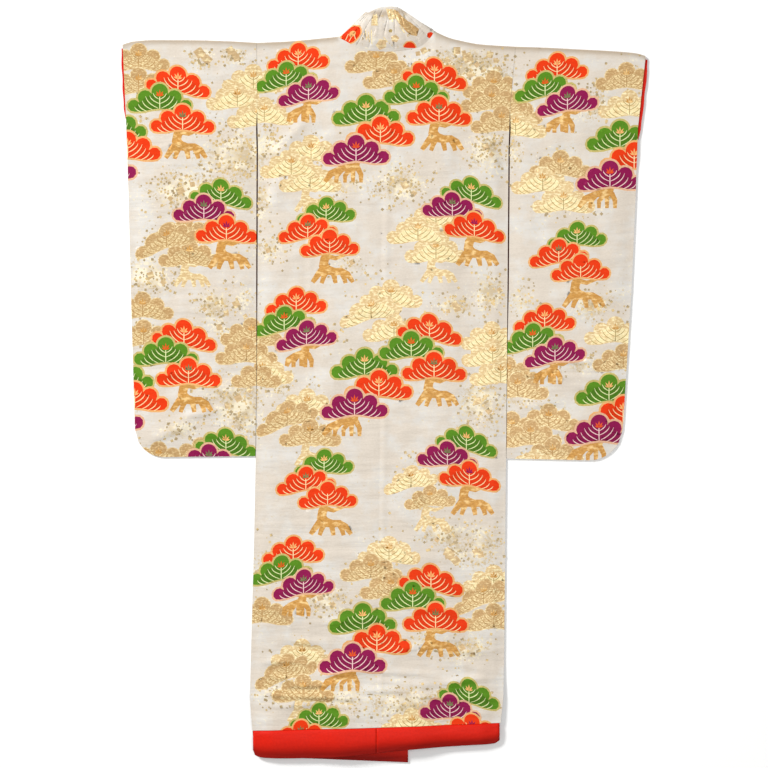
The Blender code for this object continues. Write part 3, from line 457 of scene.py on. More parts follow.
SLEEVES = {
    -1: {
        "side": -1,
        "bottom": -0.1775,
        "bottom_slope": -0.0030,
        "corner": 0.070,
        "cuff": 0.187,
        "top": ((-0.6535, 0.8500), (-0.6300, 0.8575), (-0.5780, 0.8615), (-0.4720, 0.8610),
                (-0.3870, 0.8585), (-0.3188, 0.8545)),
        "top_ends": (-0.3188, -0.6535),
        "outer": ((-0.1900, -0.6205), (-0.0800, -0.6240), (0.2400, -0.6335), (0.4800, -0.6395),
                  (0.6400, -0.6442), (0.8460, -0.6535)),
    },
    1: {
        "side": 1,
        "bottom": -0.1835,
        "bottom_slope": -0.0060,
        "corner": 0.078,
        "cuff": 0.213,
        "top": ((0.3262, 0.8450), (0.3900, 0.8430), (0.4800, 0.8385), (0.5800, 0.8330),
                (0.6280, 0.8285), (0.6515, 0.8220)),
        "top_ends": (0.3262, 0.6515),
        "outer": ((-0.1950, 0.5880), (-0.0800, 0.5970), (0.2400, 0.6170), (0.4800, 0.6275),
                  (0.6400, 0.6325), (0.8180, 0.6515)),
    },
}
GAP_ROWS = ((0.0800, 0.0012), (0.2400, 0.0036), (0.6400, 0.0038), (0.6850, 0.0005))
UNDER_GAP_ROWS = ((0.6400, 0.0007), (0.6850, 0.0005))
CUFF_FADE_START = 0.030
CUFF_FADE = 0.055
SIDE_PUFF = 0.25

# %% Edges of the panels
def soft_step(share):
    """A soft step from 0 to 1."""
    share = np.clip(share, 0.0, 1.0)
    return share * share * (3 - 2 * share)


def ramp(x, start, length):
    """A soft step that starts at one place and is done after a length."""
    return soft_step((x - start) / length)


def near(distance, length):
    """1 at no distance, and softly down to 0 at a length away."""
    return soft_step(1 - distance / length)


def between(x, low, high, blend_length):
    """1 well inside two ends, and softly down to 0 at each."""
    return ramp(x, low, blend_length) * soft_step((high - x) / blend_length)


def mix(a, b, share):
    return a + (b - a) * share


def gentle_curve(points, x):
    """A smooth curve through points in order of x, which never swings past them."""
    xs, ys = np.array(points, float).T
    steps = np.diff(xs)
    rises = np.diff(ys) / steps
    slopes = np.zeros(len(xs))
    slopes[0], slopes[-1] = rises[0], rises[-1]
    for i in range(1, len(xs) - 1):
        if rises[i - 1] * rises[i] > 0:
            slopes[i] = 2 / (1 / rises[i - 1] + 1 / rises[i])
    x = np.clip(x, xs[0], xs[-1])
    i = np.clip(np.searchsorted(xs, x) - 1, 0, len(xs) - 2)
    h = steps[i]
    t = (x - xs[i]) / h
    start = (2 * t**3 - 3 * t**2 + 1) * ys[i] + (t**3 - 2 * t**2 + t) * h * slopes[i]
    end = (3 * t**2 - 2 * t**3) * ys[i + 1] + (t**3 - t**2) * h * slopes[i + 1]
    return start + end


def read_rows(rows, y, column=1):
    """A table whose first column is a height, read at height y."""
    rows = sorted(rows)
    return np.interp(y, [row[0] for row in rows], [row[column] for row in rows])


def top_edge(x):
    """The garment's top edge in plan."""
    left, neck, right = (gentle_curve(p, x) for p in (LEFT_SHOULDER, NECKLINE, RIGHT_SHOULDER))
    return np.where(x <= NECK_X[-1], left, np.where(x <= NECK_X[1], neck, right))


def side_x(side, y):
    return read_rows(BODY_ROWS, y, 1 if side < 0 else 3)


def seam_x(y):
    return read_rows(BODY_ROWS, y, 2)


def inner_x(side, y):
    return np.interp(y, [POINT_Y, NECK_FOLD_Y[side]], [INNER_X[side], NECK_X[side]])


def collar_seam_x(side, y):
    if y >= POINT_Y:
        return float(inner_x(side, y))
    low = EDGE_X[side] + side * COLLAR_FRONT_WIDTH
    return mix(low, INNER_X[side], (y - COLLAR_END_Y) / (POINT_Y - COLLAR_END_Y))


def hem_line(hem, x):
    return mix(hem[1], hem[3], (x - hem[0]) / (hem[2] - hem[0]))


# %% [markdown]
# ## Creases
# The photo shows storage folds down the skirt, soft drag lines below the arms, and many small
# wrinkles near the hem and at the sleeves' ends. A cloth simulation would smooth these away, so
# each crease is given as a low ridge with its own heading, length, width and height. The larger
# ones are in the solid model too. The finer ones come on top.

# %% Creases
# x, y, heading in degrees, length, width, height
LARGE_CREASES = (
    (-0.225, 0.620, 46, 0.20, 0.030, 0.0040),
    (-0.262, 0.500, 62, 0.16, 0.026, 0.0026),
    (0.250, 0.560, -50, 0.20, 0.030, 0.0034),
    (0.215, 0.826, -9, 0.20, 0.014, 0.0030),
    (0.235, 0.785, -14, 0.18, 0.018, 0.0024),
    (-0.190, 0.815, 12, 0.16, 0.018, 0.0022),
    (0.020, 0.745, 4, 0.22, 0.034, 0.0026),
    (0.120, 0.330, -24, 0.26, 0.034, 0.0026),
    (-0.180, -0.020, 18, 0.24, 0.036, 0.0028),
    (0.175, -0.130, -12, 0.22, 0.034, 0.0026),
    (0.078, -0.350, -44, 0.20, 0.032, 0.0036),
    (-0.010, -0.428, 1, 0.50, 0.020, 0.0020),
    (-0.240, -0.560, 10, 0.20, 0.030, 0.0032),
    (0.165, -0.620, -8, 0.26, 0.030, 0.0030),
    (-0.020, -0.690, 3, 0.34, 0.026, 0.0036),
    (0.165, -0.745, -7, 0.22, 0.022, 0.0034),
    (-0.200, -0.775, 5, 0.26, 0.020, 0.0036),
    (0.030, -0.795, -2, 0.30, 0.018, 0.0032),
    (-0.500, 0.470, 8, 0.22, 0.036, 0.0028),
    (-0.445, 0.190, -6, 0.24, 0.034, 0.0026),
    (-0.470, -0.030, 6, 0.28, 0.024, 0.0034),
    (-0.500, -0.098, 10, 0.24, 0.022, 0.0036),
    (0.470, 0.500, -10, 0.22, 0.036, 0.0028),
    (0.455, 0.215, 4, 0.24, 0.032, 0.0026),
    (0.455, 0.028, -4, 0.30, 0.018, 0.0038),
    (0.470, -0.085, 6, 0.26, 0.026, 0.0032),
)
FINE_CREASES = (
    (-0.215, 0.640, 50, 0.20, 0.010, 0.0008),
    (-0.170, 0.585, 54, 0.14, 0.009, 0.0011),
    (0.262, 0.585, -58, 0.16, 0.010, 0.0014),
    (0.170, 0.838, -6, 0.16, 0.006, 0.0013),
    (0.225, 0.806, -10, 0.18, 0.007, 0.0014),
    (0.085, 0.800, 12, 0.12, 0.008, 0.0011),
    (-0.085, 0.795, -16, 0.11, 0.008, 0.0011),
    (0.075, -0.270, -58, 0.22, 0.011, 0.0016),
    (0.050, -0.330, -48, 0.16, 0.009, 0.0012),
    (-0.100, -0.590, 4, 0.24, 0.010, 0.0014),
    (0.120, -0.560, -5, 0.22, 0.010, 0.0012),
    (-0.200, -0.640, -6, 0.18, 0.009, 0.0014),
    (0.060, -0.655, 6, 0.26, 0.010, 0.0014),
    (0.210, -0.700, -14, 0.14, 0.009, 0.0014),
    (-0.120, -0.720, 8, 0.22, 0.009, 0.0015),
    (0.040, -0.742, -6, 0.24, 0.009, 0.0014),
    (-0.240, -0.735, -10, 0.15, 0.008, 0.0013),
    (0.230, -0.780, 4, 0.13, 0.008, 0.0014),
    (-0.090, -0.805, -4, 0.20, 0.008, 0.0013),
    (0.120, -0.815, 7, 0.18, 0.008, 0.0013),
    (-0.250, -0.815, 12, 0.12, 0.008, 0.0012),
    (-0.520, 0.028, 2, 0.22, 0.008, 0.0014),
    (-0.440, -0.004, -7, 0.20, 0.008, 0.0012),
    (-0.455, -0.070, 14, 0.18, 0.009, 0.0015),
    (-0.540, -0.120, 22, 0.14, 0.008, 0.0014),
    (-0.400, -0.125, -8, 0.14, 0.008, 0.0012),
    (-0.470, 0.330, -14, 0.20, 0.010, 0.0010),
    (-0.520, 0.600, 12, 0.22, 0.010, 0.0010),
    (0.460, 0.058, 2, 0.28, 0.007, 0.0015),
    (0.480, 0.000, -6, 0.24, 0.008, 0.0013),
    (0.400, -0.045, 10, 0.16, 0.008, 0.0012),
    (0.500, -0.130, -8, 0.18, 0.009, 0.0013),
    (0.470, 0.030, 0, 0.42, 0.004, -0.0016),
    (0.400, 0.022, -3, 0.22, 0.006, 0.0012),
    (0.520, 0.330, -22, 0.18, 0.010, 0.0011),
    (0.470, 0.650, -16, 0.22, 0.010, 0.0010),
    (-0.270, -0.690, 3, 0.14, 0.007, 0.0016),
    (-0.180, -0.748, 2, 0.22, 0.007, 0.0018),
    (-0.270, -0.770, -5, 0.12, 0.006, 0.0016),
    (-0.130, -0.778, -3, 0.24, 0.007, 0.0018),
    (-0.230, -0.800, 3, 0.18, 0.006, 0.0018),
    (-0.060, -0.822, 4, 0.20, 0.006, 0.0017),
    (-0.270, -0.832, 6, 0.12, 0.005, 0.0016),
    (0.010, -0.760, 2, 0.22, 0.007, 0.0018),
    (0.110, -0.775, -4, 0.20, 0.007, 0.0018),
    (0.030, -0.716, -3, 0.30, 0.008, 0.0016),
    (0.200, -0.735, 5, 0.16, 0.007, 0.0016),
    (0.215, -0.665, -4, 0.18, 0.008, 0.0014),
    (-0.060, 0.180, 8, 0.22, 0.012, 0.0009),
    (0.130, 0.060, -12, 0.20, 0.012, 0.0010),
    (-0.200, 0.330, 20, 0.18, 0.012, 0.0009),
)
FINE_DEPTH = 2.6
STORAGE_FOLD_END = 0.06
# Vertical storage folds: x at the top, x at the bottom, top and bottom, width, height
STORAGE_FOLDS = (
    (0.287, 0.281, 0.560, -0.830, 0.0045, -0.0014),
    (0.287, 0.281, 0.560, -0.830, 0.0110, 0.0016),
    (0.010, -0.010, 0.700, -0.840, 0.0050, 0.0012),
    (-0.185, -0.190, 0.500, -0.820, 0.0060, 0.0011),
    (-0.300, -0.312, 0.450, -0.830, 0.0070, 0.0012),
)
# Soft unevenness: heading, wavelength, phase, height
SWELLS = (
    (17, 0.071, 0.4, 0.00020),
    (-31, 0.053, 1.9, 0.00018),
    (74, 0.118, 3.1, 0.00022),
    (-66, 0.083, 5.2, 0.00016),
    (5, 0.037, 2.6, 0.00010),
    (48, 0.029, 4.4, 0.00007),
)


def ridge(x, y, crease):
    centre_x, centre_y, heading, length, width, height = crease
    turn = math.radians(heading)
    along = (x - centre_x) * math.cos(turn) + (y - centre_y) * math.sin(turn)
    across = (y - centre_y) * math.cos(turn) - (x - centre_x) * math.sin(turn)
    ends = np.clip(1 - (2 * along / length) ** 2, 0, 1)
    return height * ends**2 * np.exp(-((across / width) ** 2))


def creases(x, y):
    """Height that the creases add at each point of the upper layer."""
    total = sum(ridge(x, y, crease) for crease in LARGE_CREASES)
    total = total + FINE_DEPTH * sum(ridge(x, y, crease) for crease in FINE_CREASES)
    for top_x, low_x, top_y, low_y, width, height in STORAGE_FOLDS:
        line = mix(top_x, low_x, (top_y - y) / (top_y - low_y))
        ends = between(y, low_y, top_y, STORAGE_FOLD_END)
        total = total + height * ends * np.exp(-(((x - line) / width) ** 2))
    for heading, length, phase, height in SWELLS:
        turn = math.radians(heading)
        along = x * math.cos(turn) + y * math.sin(turn)
        total = total + height * (1 + np.sin(2 * math.pi * along / length + phase))
    return total


# %% Heights of the layers
def openness(y):
    """1 where the armhole joins body and sleeve, 0 along the closed side seam."""
    return ramp(y, ARMHOLE_OPENS_Y, ARMHOLE_OPEN_RISE)


def away_from(distance, reach=PUFF_REACH):
    return 1 - np.exp(-((np.maximum(distance, 0.0) / reach) ** 2))


def front_roll(side, x):
    """Thickness of a front's hem roll, which is thinner at its outer end."""
    full, end_x = (FRONT_ROLL, FRONT_ROLL_LEFT_X) if side < 0 else (RIGHT_ROLL, FRONT_ROLL_RIGHT_X)
    return mix(END_ROLL, full, soft_step(np.abs(x - end_x) / ROLL_THINS_OVER))


def front_roll_mid(side, x):
    """Height of a front roll's middle. The right one climbs over the left one."""
    low = front_roll(side, x) / 2
    if side < 0:
        return low
    over = FRONT_ROLL + ROLL_STEP + RIGHT_ROLL / 2
    return mix(over, low, ramp(x, RIGHT_ROLL_CLIMB_X, RIGHT_ROLL_CLIMB))


def roll_top(x):
    on_right = front_roll_mid(1, x) + front_roll(1, x) / 2
    climb = soft_step((x - EDGE_X[1] + LEFT_ROLL_CLIMB) / LEFT_ROLL_CLIMB)
    on_left = front_roll(-1, x) + (ROLL_STEP + RIGHT_ROLL) * climb
    return np.where(x >= EDGE_X[1], on_right, on_left)


def back_roll(x):
    end = np.minimum(np.abs(x - BACK_ROLL_X[0]), np.abs(x - BACK_ROLL_X[1]))
    return mix(BACK_ROLL_END, BACK_ROLL, soft_step(end / BACK_ROLL_THINS_OVER))


def back_roll_mid(x):
    return roll_top(x) + ROLL_STEP + back_roll(x) / 2


def shoulder_top(x):
    return mix(SHOULDER_TOP_MID, NECK_TOP_MID, between(x, *FULLER))


def back_height(side, x, y):
    """Height of the back's middle, over two layers at the sides and four between."""
    base = mix(TOUCH_MID, BACK_OVER_MID, between(x, *BACK_CLIMB))
    inside = away_from(np.abs(x - side_x(side, y)))
    off_seam = away_from(np.abs(x - seam_x(y)), SEAM_REACH)
    creased = creases(x, y)
    height = base + np.maximum(inside, openness(y)) * PUFF + inside * creased
    height = height - SEAM_DEPTH * (1 - off_seam)
    lift = near(y - hem_line(BACK_HEM, x), BACK_LIFT_LENGTH)
    height = mix(height, back_roll_mid(x), lift)
    height = height + lift * (1 - lift) * HEM_CREASES * inside * creased
    return mix(height, shoulder_top(x), near(top_edge(x) - y, SHOULDER_BLEND))


def front_lift(side, x, y):
    """How far a front has risen to the middle of its hem roll."""
    return near(y - hem_line(FRONT_HEM[side], x), LIFT_LENGTH[side])


def front_height(side, x, y):
    """Height of a front's middle. The right front laps over the left one."""
    lapped = 0.0 if side < 0 else 1 - soft_step((x - inner_x(1, y)) / LAP_BLEND)
    level = mix(FLOOR_MID, OVERLAP_RIGHT_MID, lapped)
    return mix(level, front_roll_mid(side, x), front_lift(side, x, y))


# %% [markdown]
# ## The pine pattern
# Pines in clusters are an old and common motif of Japanese cloth. Each tree is three pads
# of needles, one over the other, on a short trunk. A pad has a round lobe at the top and two
# at each side, a gold edge, needles drawn as curved ribs that meet on a spine, and a small
# sprout. One pad is drawn here in millimetres, from circles and curves, and every pad of
# the cloth is a copy that leans a little, as the weaver's pattern does.

# %% One pad of needles
MM = 0.001
LOBES = ((0.0, 0.0, 20.5), (36.0, -14.0, 18.5), (64.0, -34.0, 15.0))
LAST_LOBE_END = -100.0
FOOT = ((40.0, -48.0), (20.0, -43.5), (0.0, -41.0))
RIB_ZONE = ((0.0, -14.0), (10.0, -9.0), (17.0, -5.0), (25.0, -9.5), (35.0, -12.0),
            (43.5, -21.5), (53.0, -30.0), (61.0, -37.0), (60.0, -48.0))
RIBS = (((0, -18.5), (16.5, -3)), ((0, -29), (25, -9)), ((4, -40), (35, -11)),
        ((18, -44), (43.5, -21)), ((32, -47.5), (53, -30)), ((46, -49), (62, -37)))
RIB_WIDTH = 2.1
# Where a rib's bend lies between its ends, across and down
RIB_BEND = (0.85, 0.36)
# A rib's fullest place, its roundness there and its thinnest share
RIB_FULLEST, RIB_ROUND, RIB_THINNEST = 0.9, 1.08, 0.12
SPINE = ((0, -12), (0, -41))
SPROUT_AT = (0.0, -11.0)
# Heading and length of each leaf of the sprout
SPROUT_LEAVES = ((-64, 12.0), (-34, 15.5), (0, 17.5), (34, 15.5), (64, 12.0))
LEAF_WIDTH = 4.0
LEAF_WIDEST = 0.55
EDGE_BAND = 4.8
FULL_STEPS, PLAIN_STEPS = 7, 4
FULL_RIB_STEPS, PLAIN_RIB_STEPS = 6, 3
SPINE_TOP = 1.2


def mirrored(half_line):
    """A half outline from the top to the bottom of the middle line, and its mirror image."""
    return [*half_line, *[(-x, y) for x, y in reversed(half_line[1:-1])]]


def where_circles_meet(one, other):
    """The upper point where two circles cross, or between them where they fall short."""
    (x0, y0, r0), (x1, y1, r1) = one, other
    apart = math.hypot(x1 - x0, y1 - y0)
    along = (r0**2 - r1**2 + apart**2) / (2 * apart)
    off = math.sqrt(max(0.0, r0**2 - along**2))
    ux, uy = (x1 - x0) / apart, (y1 - y0) / apart
    return x0 + along * ux - off * uy, y0 + along * uy + off * ux


def pad_outline(grow, steps):
    """The outline of a pad, grown outwards by some millimetres."""
    line = []
    start = 90.0
    for k, (x, y, r) in enumerate(LOBES):
        end = LAST_LOBE_END
        if k + 1 < len(LOBES):
            following = LOBES[k + 1]
            meet = where_circles_meet((x, y, r + grow), (*following[:2], following[2] + grow))
            end = math.degrees(math.atan2(meet[1] - y, meet[0] - x))
        for angle in np.linspace(start, end, steps):
            turn = math.radians(angle)
            line.append((x + (r + grow) * math.cos(turn), y + (r + grow) * math.sin(turn)))
        if k + 1 < len(LOBES):
            start = math.degrees(math.atan2(meet[1] - following[1], meet[0] - following[0]))
    line += [(x, y - grow) for x, y in FOOT]
    return mirrored(line)


def strip(line, widths):
    """A band along a line, with its width given at each point."""
    line = np.array(line, float)
    ahead = np.gradient(line, axis=0)
    ahead /= np.linalg.norm(ahead, axis=1)[:, None]
    off = np.stack([-ahead[:, 1], ahead[:, 0]], axis=1) * np.array(widths, float)[:, None] / 2
    return [*map(tuple, line + off), *map(tuple, (line - off)[::-1])]


def rib(start, end, side, steps, width):
    """One curved rib: level at the spine, bending up to its tip."""
    bend = [mix(a, b, share) for a, b, share in zip(start, end, RIB_BEND)]
    t = np.linspace(0, 1, steps)[:, None]
    line = (1 - t) ** 2 * np.array(start) + 2 * t * (1 - t) * np.array(bend) + t**2 * np.array(end)
    widths = width * np.sqrt(np.clip(RIB_ROUND - (2 * t[:, 0] - RIB_FULLEST) ** 2, RIB_THINNEST, 1))
    line[:, 0] *= side
    return strip(line, widths)


def leaf(angle, length):
    turn = math.radians(angle)
    c, s = math.cos(turn), math.sin(turn)
    widest = length * LEAF_WIDEST
    flat = ((0, 0), (LEAF_WIDTH / 2, widest), (0, length), (-LEAF_WIDTH / 2, widest))
    return [(SPROUT_AT[0] + x * c + y * s, SPROUT_AT[1] - x * s + y * c) for x, y in flat]


# What each kind of pad is woven in: fill, between ribs, ribs, edge; widths of rib and edge
KINDS = {
    "orange": ("orange", "orange_low", "cream", "edge", RIB_WIDTH, EDGE_BAND),
    "green": ("green", "green_low", "lime", "green_edge", RIB_WIDTH, EDGE_BAND),
    "purple": ("purple", "purple_low", "pink", "purple_edge", RIB_WIDTH, EDGE_BAND),
    # The tan and the pale kind are the same gilt thread, painted darker as shade and lighter as
    # highlight
    "tan": ("tan", "tan_low", "tan_rib", "sand", 1.6, 2.5),
    "pale": ("sand", "pale_gold", "grey_rib", "sand", 1.7, 2.5),
}


def pad(kind, sprout, lean, steps=FULL_STEPS):
    """All the shapes of one pad with their silks, in millimetres, the lowest first."""
    fill, low, thread, edge, width, band = KINDS[kind]
    shapes = [(pad_outline(band, steps), edge), (pad_outline(0.0, steps), fill)]
    shapes.append((mirrored([*RIB_ZONE, *FOOT]), low))
    rib_steps = FULL_RIB_STEPS if steps == FULL_STEPS else PLAIN_RIB_STEPS
    shapes += [(rib(*ends, side, rib_steps, width), thread) for ends in RIBS for side in (1, -1)]
    shapes.append((strip(SPINE, (width * SPINE_TOP, width)), thread))
    if sprout:
        shapes += [(leaf(angle, length), sprout) for angle, length in SPROUT_LEAVES]
    return [([(x, y + lean * x) for x, y in shape], silk) for shape, silk in shapes]


# %% [markdown]
# ## Trees
# The cloth repeats a few trees, each with its own order of colours. The places of the pads
# are given from the first pad, in steps of 2.5 mm, the width of one pixel of the photo.

# %% Trees
STEP = 2.5
# Each pad: across, down, kind, sprout, lean. Then the kind of trunk.
TREES = {
    "A": (((0, 0, "orange", "peach", 0.08), (-12, 19, "green", "flame", 0.13),
           (10.3, 33, "purple", "moss", 0.15)), "low"),
    "B": (((0, 0, "green", "peach", 0.03), (14.3, 21.5, "orange", "peach", 0.03),
           (-10, 40, "purple", "flame", 0.03)), "wide"),
    "C": (((0, 0, "green", "peach", 0.10), (-18.3, 17.3, "orange", "moss", 0.10),
           (3.5, 32.3, "orange", None, 0.04)), "tall"),
    "D": (((0, 0, "orange", "peach", -0.12), (-18.2, 17.2, "green", "flame", 0.0),
           (4.6, 38, "orange", "moss", -0.02)), "tall"),
    "E": (((0, 0, "green", "peach", -0.18), (-19, 15, "purple", "moss", -0.10),
           (3, 35, "orange", "purple", -0.14)), "tall"),
    "F": (((0, 0, "green", "peach", -0.10), (-17, 15.5, "purple", "moss", -0.03),
           (5.5, 36, "orange", "purple", -0.02)), "tall"),
    "tan": (((0, 0, "tan", "trunk", 0.0),), "none"),
    "tan left": (((0, 0, "tan", "trunk", 0.32),), "none"),
    "pale": (((0, 0, "pale", "trunk", 0.0),), "none"),
    "pale left": (((0, 0, "pale", "trunk", 0.25),), "none"),
    "tan tree": (((0, 0, "tan", "trunk", 0.0),), "faint"),
    "pale tree": (((0, 0, "pale", "trunk", 0.0),), "faint"),
    "small tan tree": (((0, 0, "tan", "trunk", 0.08),), "faint"),
    "small pale": (((0, 0, "pale", "trunk", 0.22),), "none"),
}
TRUNKS = {
    "tall": (
        (((-2, 17), (-5, 22), (-6, 28), (-2, 33), (5, 34.5), (12, 34), (18, 37), (23.5, 45)),
         (9, 9, 10, 10, 8, 7, 6, 4)),
        (((-6, 31), (-12, 38), (-17, 45)), (8, 6, 4.5)),
        (((-3, 34), (-6, 40), (-8, 46)), (6, 5, 4)),
        (((4, 36), (5, 41), (6, 46)), (6, 5, 4)),
        (((12, 35), (14.5, 40.5), (16, 46)), (6, 5, 4)),
        (((-2, 19), (6, 21), (16, 18)), (5, 4.5, 2)),
    ),
    "low": (
        (((0, 14), (-1, 21), (-3, 27), (-5, 38)), (6, 8, 9, 4.5)),
        (((-2, 24), (2, 27), (5, 32), (5, 39)), (7, 6, 5, 3.5)),
        (((-2, 27), (-1, 33), (-1, 39)), (4.5, 4, 3.5)),
        (((-4, 25), (-12, 28), (-18, 32), (-20, 38)), (7, 7, 7, 4)),
        (((-10, 29), (-13, 34), (-13, 39)), (5, 4.5, 4)),
        (((1, 18), (8, 19), (15, 16)), (4, 4, 2)),
        (((-1, 18), (-8, 18), (-14, 16)), (4, 3, 1.5)),
    ),
    "wide": (
        (((-1, 12), (-1, 19), (-2, 27)), (7, 10, 9)),
        (((-3, 23), (2, 25), (5, 31), (5, 39)), (6, 6, 5, 3.5)),
        (((-3, 26), (-3, 32), (-3, 39)), (5, 4.5, 3.5)),
        (((-6, 26), (-11, 32), (-11, 39)), (5, 4.5, 3.5)),
        (((-4, 23), (-14, 25), (-25, 30), (-31, 38)), (7, 7, 7, 4)),
        (((-14, 26), (-19, 32), (-20, 39)), (5, 5, 3.5)),
        (((1, 16), (10, 17), (18, 14)), (4.5, 4, 2)),
    ),
}
# The trees' pads differ a little in size from one to the next
GOLD_PAD_SCALE = 0.97
PAD_SCALES = {"A": 0.96, "B": 1.05, "C": 0.92, "D": 1.01, "E": 0.95, "F": 0.97,
              "small tan tree": 0.80, "small pale": 0.84}
GOLD_TRUNK_SCALE = 0.86


def tree(name, steps=FULL_STEPS):
    """All the shapes of one tree with their silks, in millimetres, y upwards."""
    pads, trunk = TREES[name]
    shapes = []
    last = pads[-1]
    is_gold = last[2] in ("tan", "pale")
    if trunk != "none":
        wood = "sand" if is_gold else "trunk"
        unit = STEP * (GOLD_TRUNK_SCALE if is_gold else 1)
        for line, widths in TRUNKS["tall" if is_gold else trunk]:
            band = strip([(x * unit, -y * unit) for x, y in line], [w * unit for w in widths])
            shapes.append(([(x + last[0] * STEP, y - last[1] * STEP) for x, y in band], wood))
    scale = PAD_SCALES.get(name, GOLD_PAD_SCALE)
    for across, down, kind, sprout, lean in pads:
        for shape, silk in pad(kind, sprout, lean, steps):
            shapes.append(([(x * scale + across * STEP, y * scale - down * STEP)
                            for x, y in shape], silk))
    return shapes


FULL_TREES = {name: tree(name) for name in TREES}
PLAIN_TREES = {name: tree(name, PLAIN_STEPS) for name in TREES}
print("trees:", {name: len(shapes) for name, shapes in FULL_TREES.items()})

# %% [markdown]
# ## Where the trees stand
# The places below are read from the photo, in its own pixels: across from the left, and down from
# the top. The gold trees are woven first and the coloured ones over them.

# %% Where the trees stand
# The cloth lies about 2 cm nearer to the lens than the floor does
PIXEL = 0.00249
PICTURE_MIDDLE = (384.5, 385.0)


def from_photo(x, y):
    """The place in metres of a point that was read from the photo."""
    return (x - PICTURE_MIDDLE[0]) * PIXEL, (PICTURE_MIDDLE[1] - y) * PIXEL


def placed(rows):
    """Rows of name, pixels across and pixels down, with the place in metres."""
    return [(name, *from_photo(x, y)) for name, x, y in rows]


BACK_GOLD = (
    ("tan", 376, 53), ("tan", 394, 69),
    ("pale tree", 310, 172), ("pale", 311, 143), ("pale", 291, 158),
    ("pale", 253, 72), ("pale", 237, 90), ("pale", 264, 105),
    ("tan", 494, 78), ("tan", 492, 92), ("tan", 502, 113),
    ("pale tree", 436, 243), ("pale", 436, 210), ("pale", 418, 224),
    ("pale", 391, 288), ("pale left", 371, 302), ("pale", 394, 322),
    ("tan", 251, 326), ("tan", 246, 345), ("pale", 262, 364), ("tan", 250, 368),
    ("tan tree", 310, 427), ("pale", 307, 397), ("tan left", 287, 409), ("tan", 310, 427),
    ("pale", 492, 330), ("pale", 493, 347), ("pale", 501, 366),
    ("small pale", 411, 473), ("small tan tree", 430, 492),
    ("pale", 389, 545), ("tan", 371, 562), ("tan", 391, 580),
    ("tan", 262, 606), ("pale", 494, 574), ("tan left", 484, 588), ("tan", 494, 612),
    ("tan tree", 303, 683), ("pale", 302, 648), ("tan left", 286, 663), ("tan", 303, 683),
    ("pale", 412, 716),
)
BACK_COLOURED = (
    ("A", 298, 50), ("A", 296, 295), ("A", 293, 544.5),
    ("B", 366, 103), ("B", 364.5, 357), ("B", 362.5, 612),
    ("C", 326, 204.5), ("C", 324, 457), ("C", 319, 710.5),
    ("D", 434.5, 66), ("D", 429.5, 322), ("D", 431, 573),
    ("E", 471.5, 184.5), ("E", 466.5, 434), ("E", 469, 687),
)
SLEEVE_GOLD = {
    -1: (("tan", 138, 51), ("tan", 138, 75), ("pale", 253, 72), ("pale", 237, 90),
         ("pale", 258, 108), ("tan", 184, 224), ("tan tree", 189, 247), ("tan left", 166, 231),
         ("tan", 142, 300), ("tan", 143, 328), ("tan", 251, 326), ("tan", 246, 345),
         ("tan", 262, 368), ("tan", 200, 446), ("tan", 158, 450)),
    1: (("tan", 627, 70), ("pale", 630, 98), ("tan", 512, 104), ("pale", 516, 118),
        ("tan", 497, 92), ("tan", 561, 158), ("pale", 543, 174), ("pale", 564, 193),
        ("pale", 616, 325), ("tan", 624, 352), ("tan", 508, 365), ("tan", 518, 380),
        ("tan", 549, 412), ("tan", 512, 420), ("tan", 531, 428), ("tan", 553, 446),
        ("pale", 536, 458)),
}
SLEEVE_COLOURED = {
    -1: (("D", 177.5, 74), ("D", 183.5, 328), ("F", 220.5, 186.5), ("F", 225.5, 436.5),
         ("B", 112.5, 118), ("B", 119.5, 369)),
    1: (("A", 557.5, 60), ("A", 545, 312), ("B", 620.5, 128.5), ("B", 609.5, 383),
        ("C", 577.5, 229)),
}
BACK_TREES = placed((*BACK_GOLD, *BACK_COLOURED))
SLEEVE_TREES = {side: placed((*SLEEVE_GOLD[side], *SLEEVE_COLOURED[side])) for side in (-1, 1)}
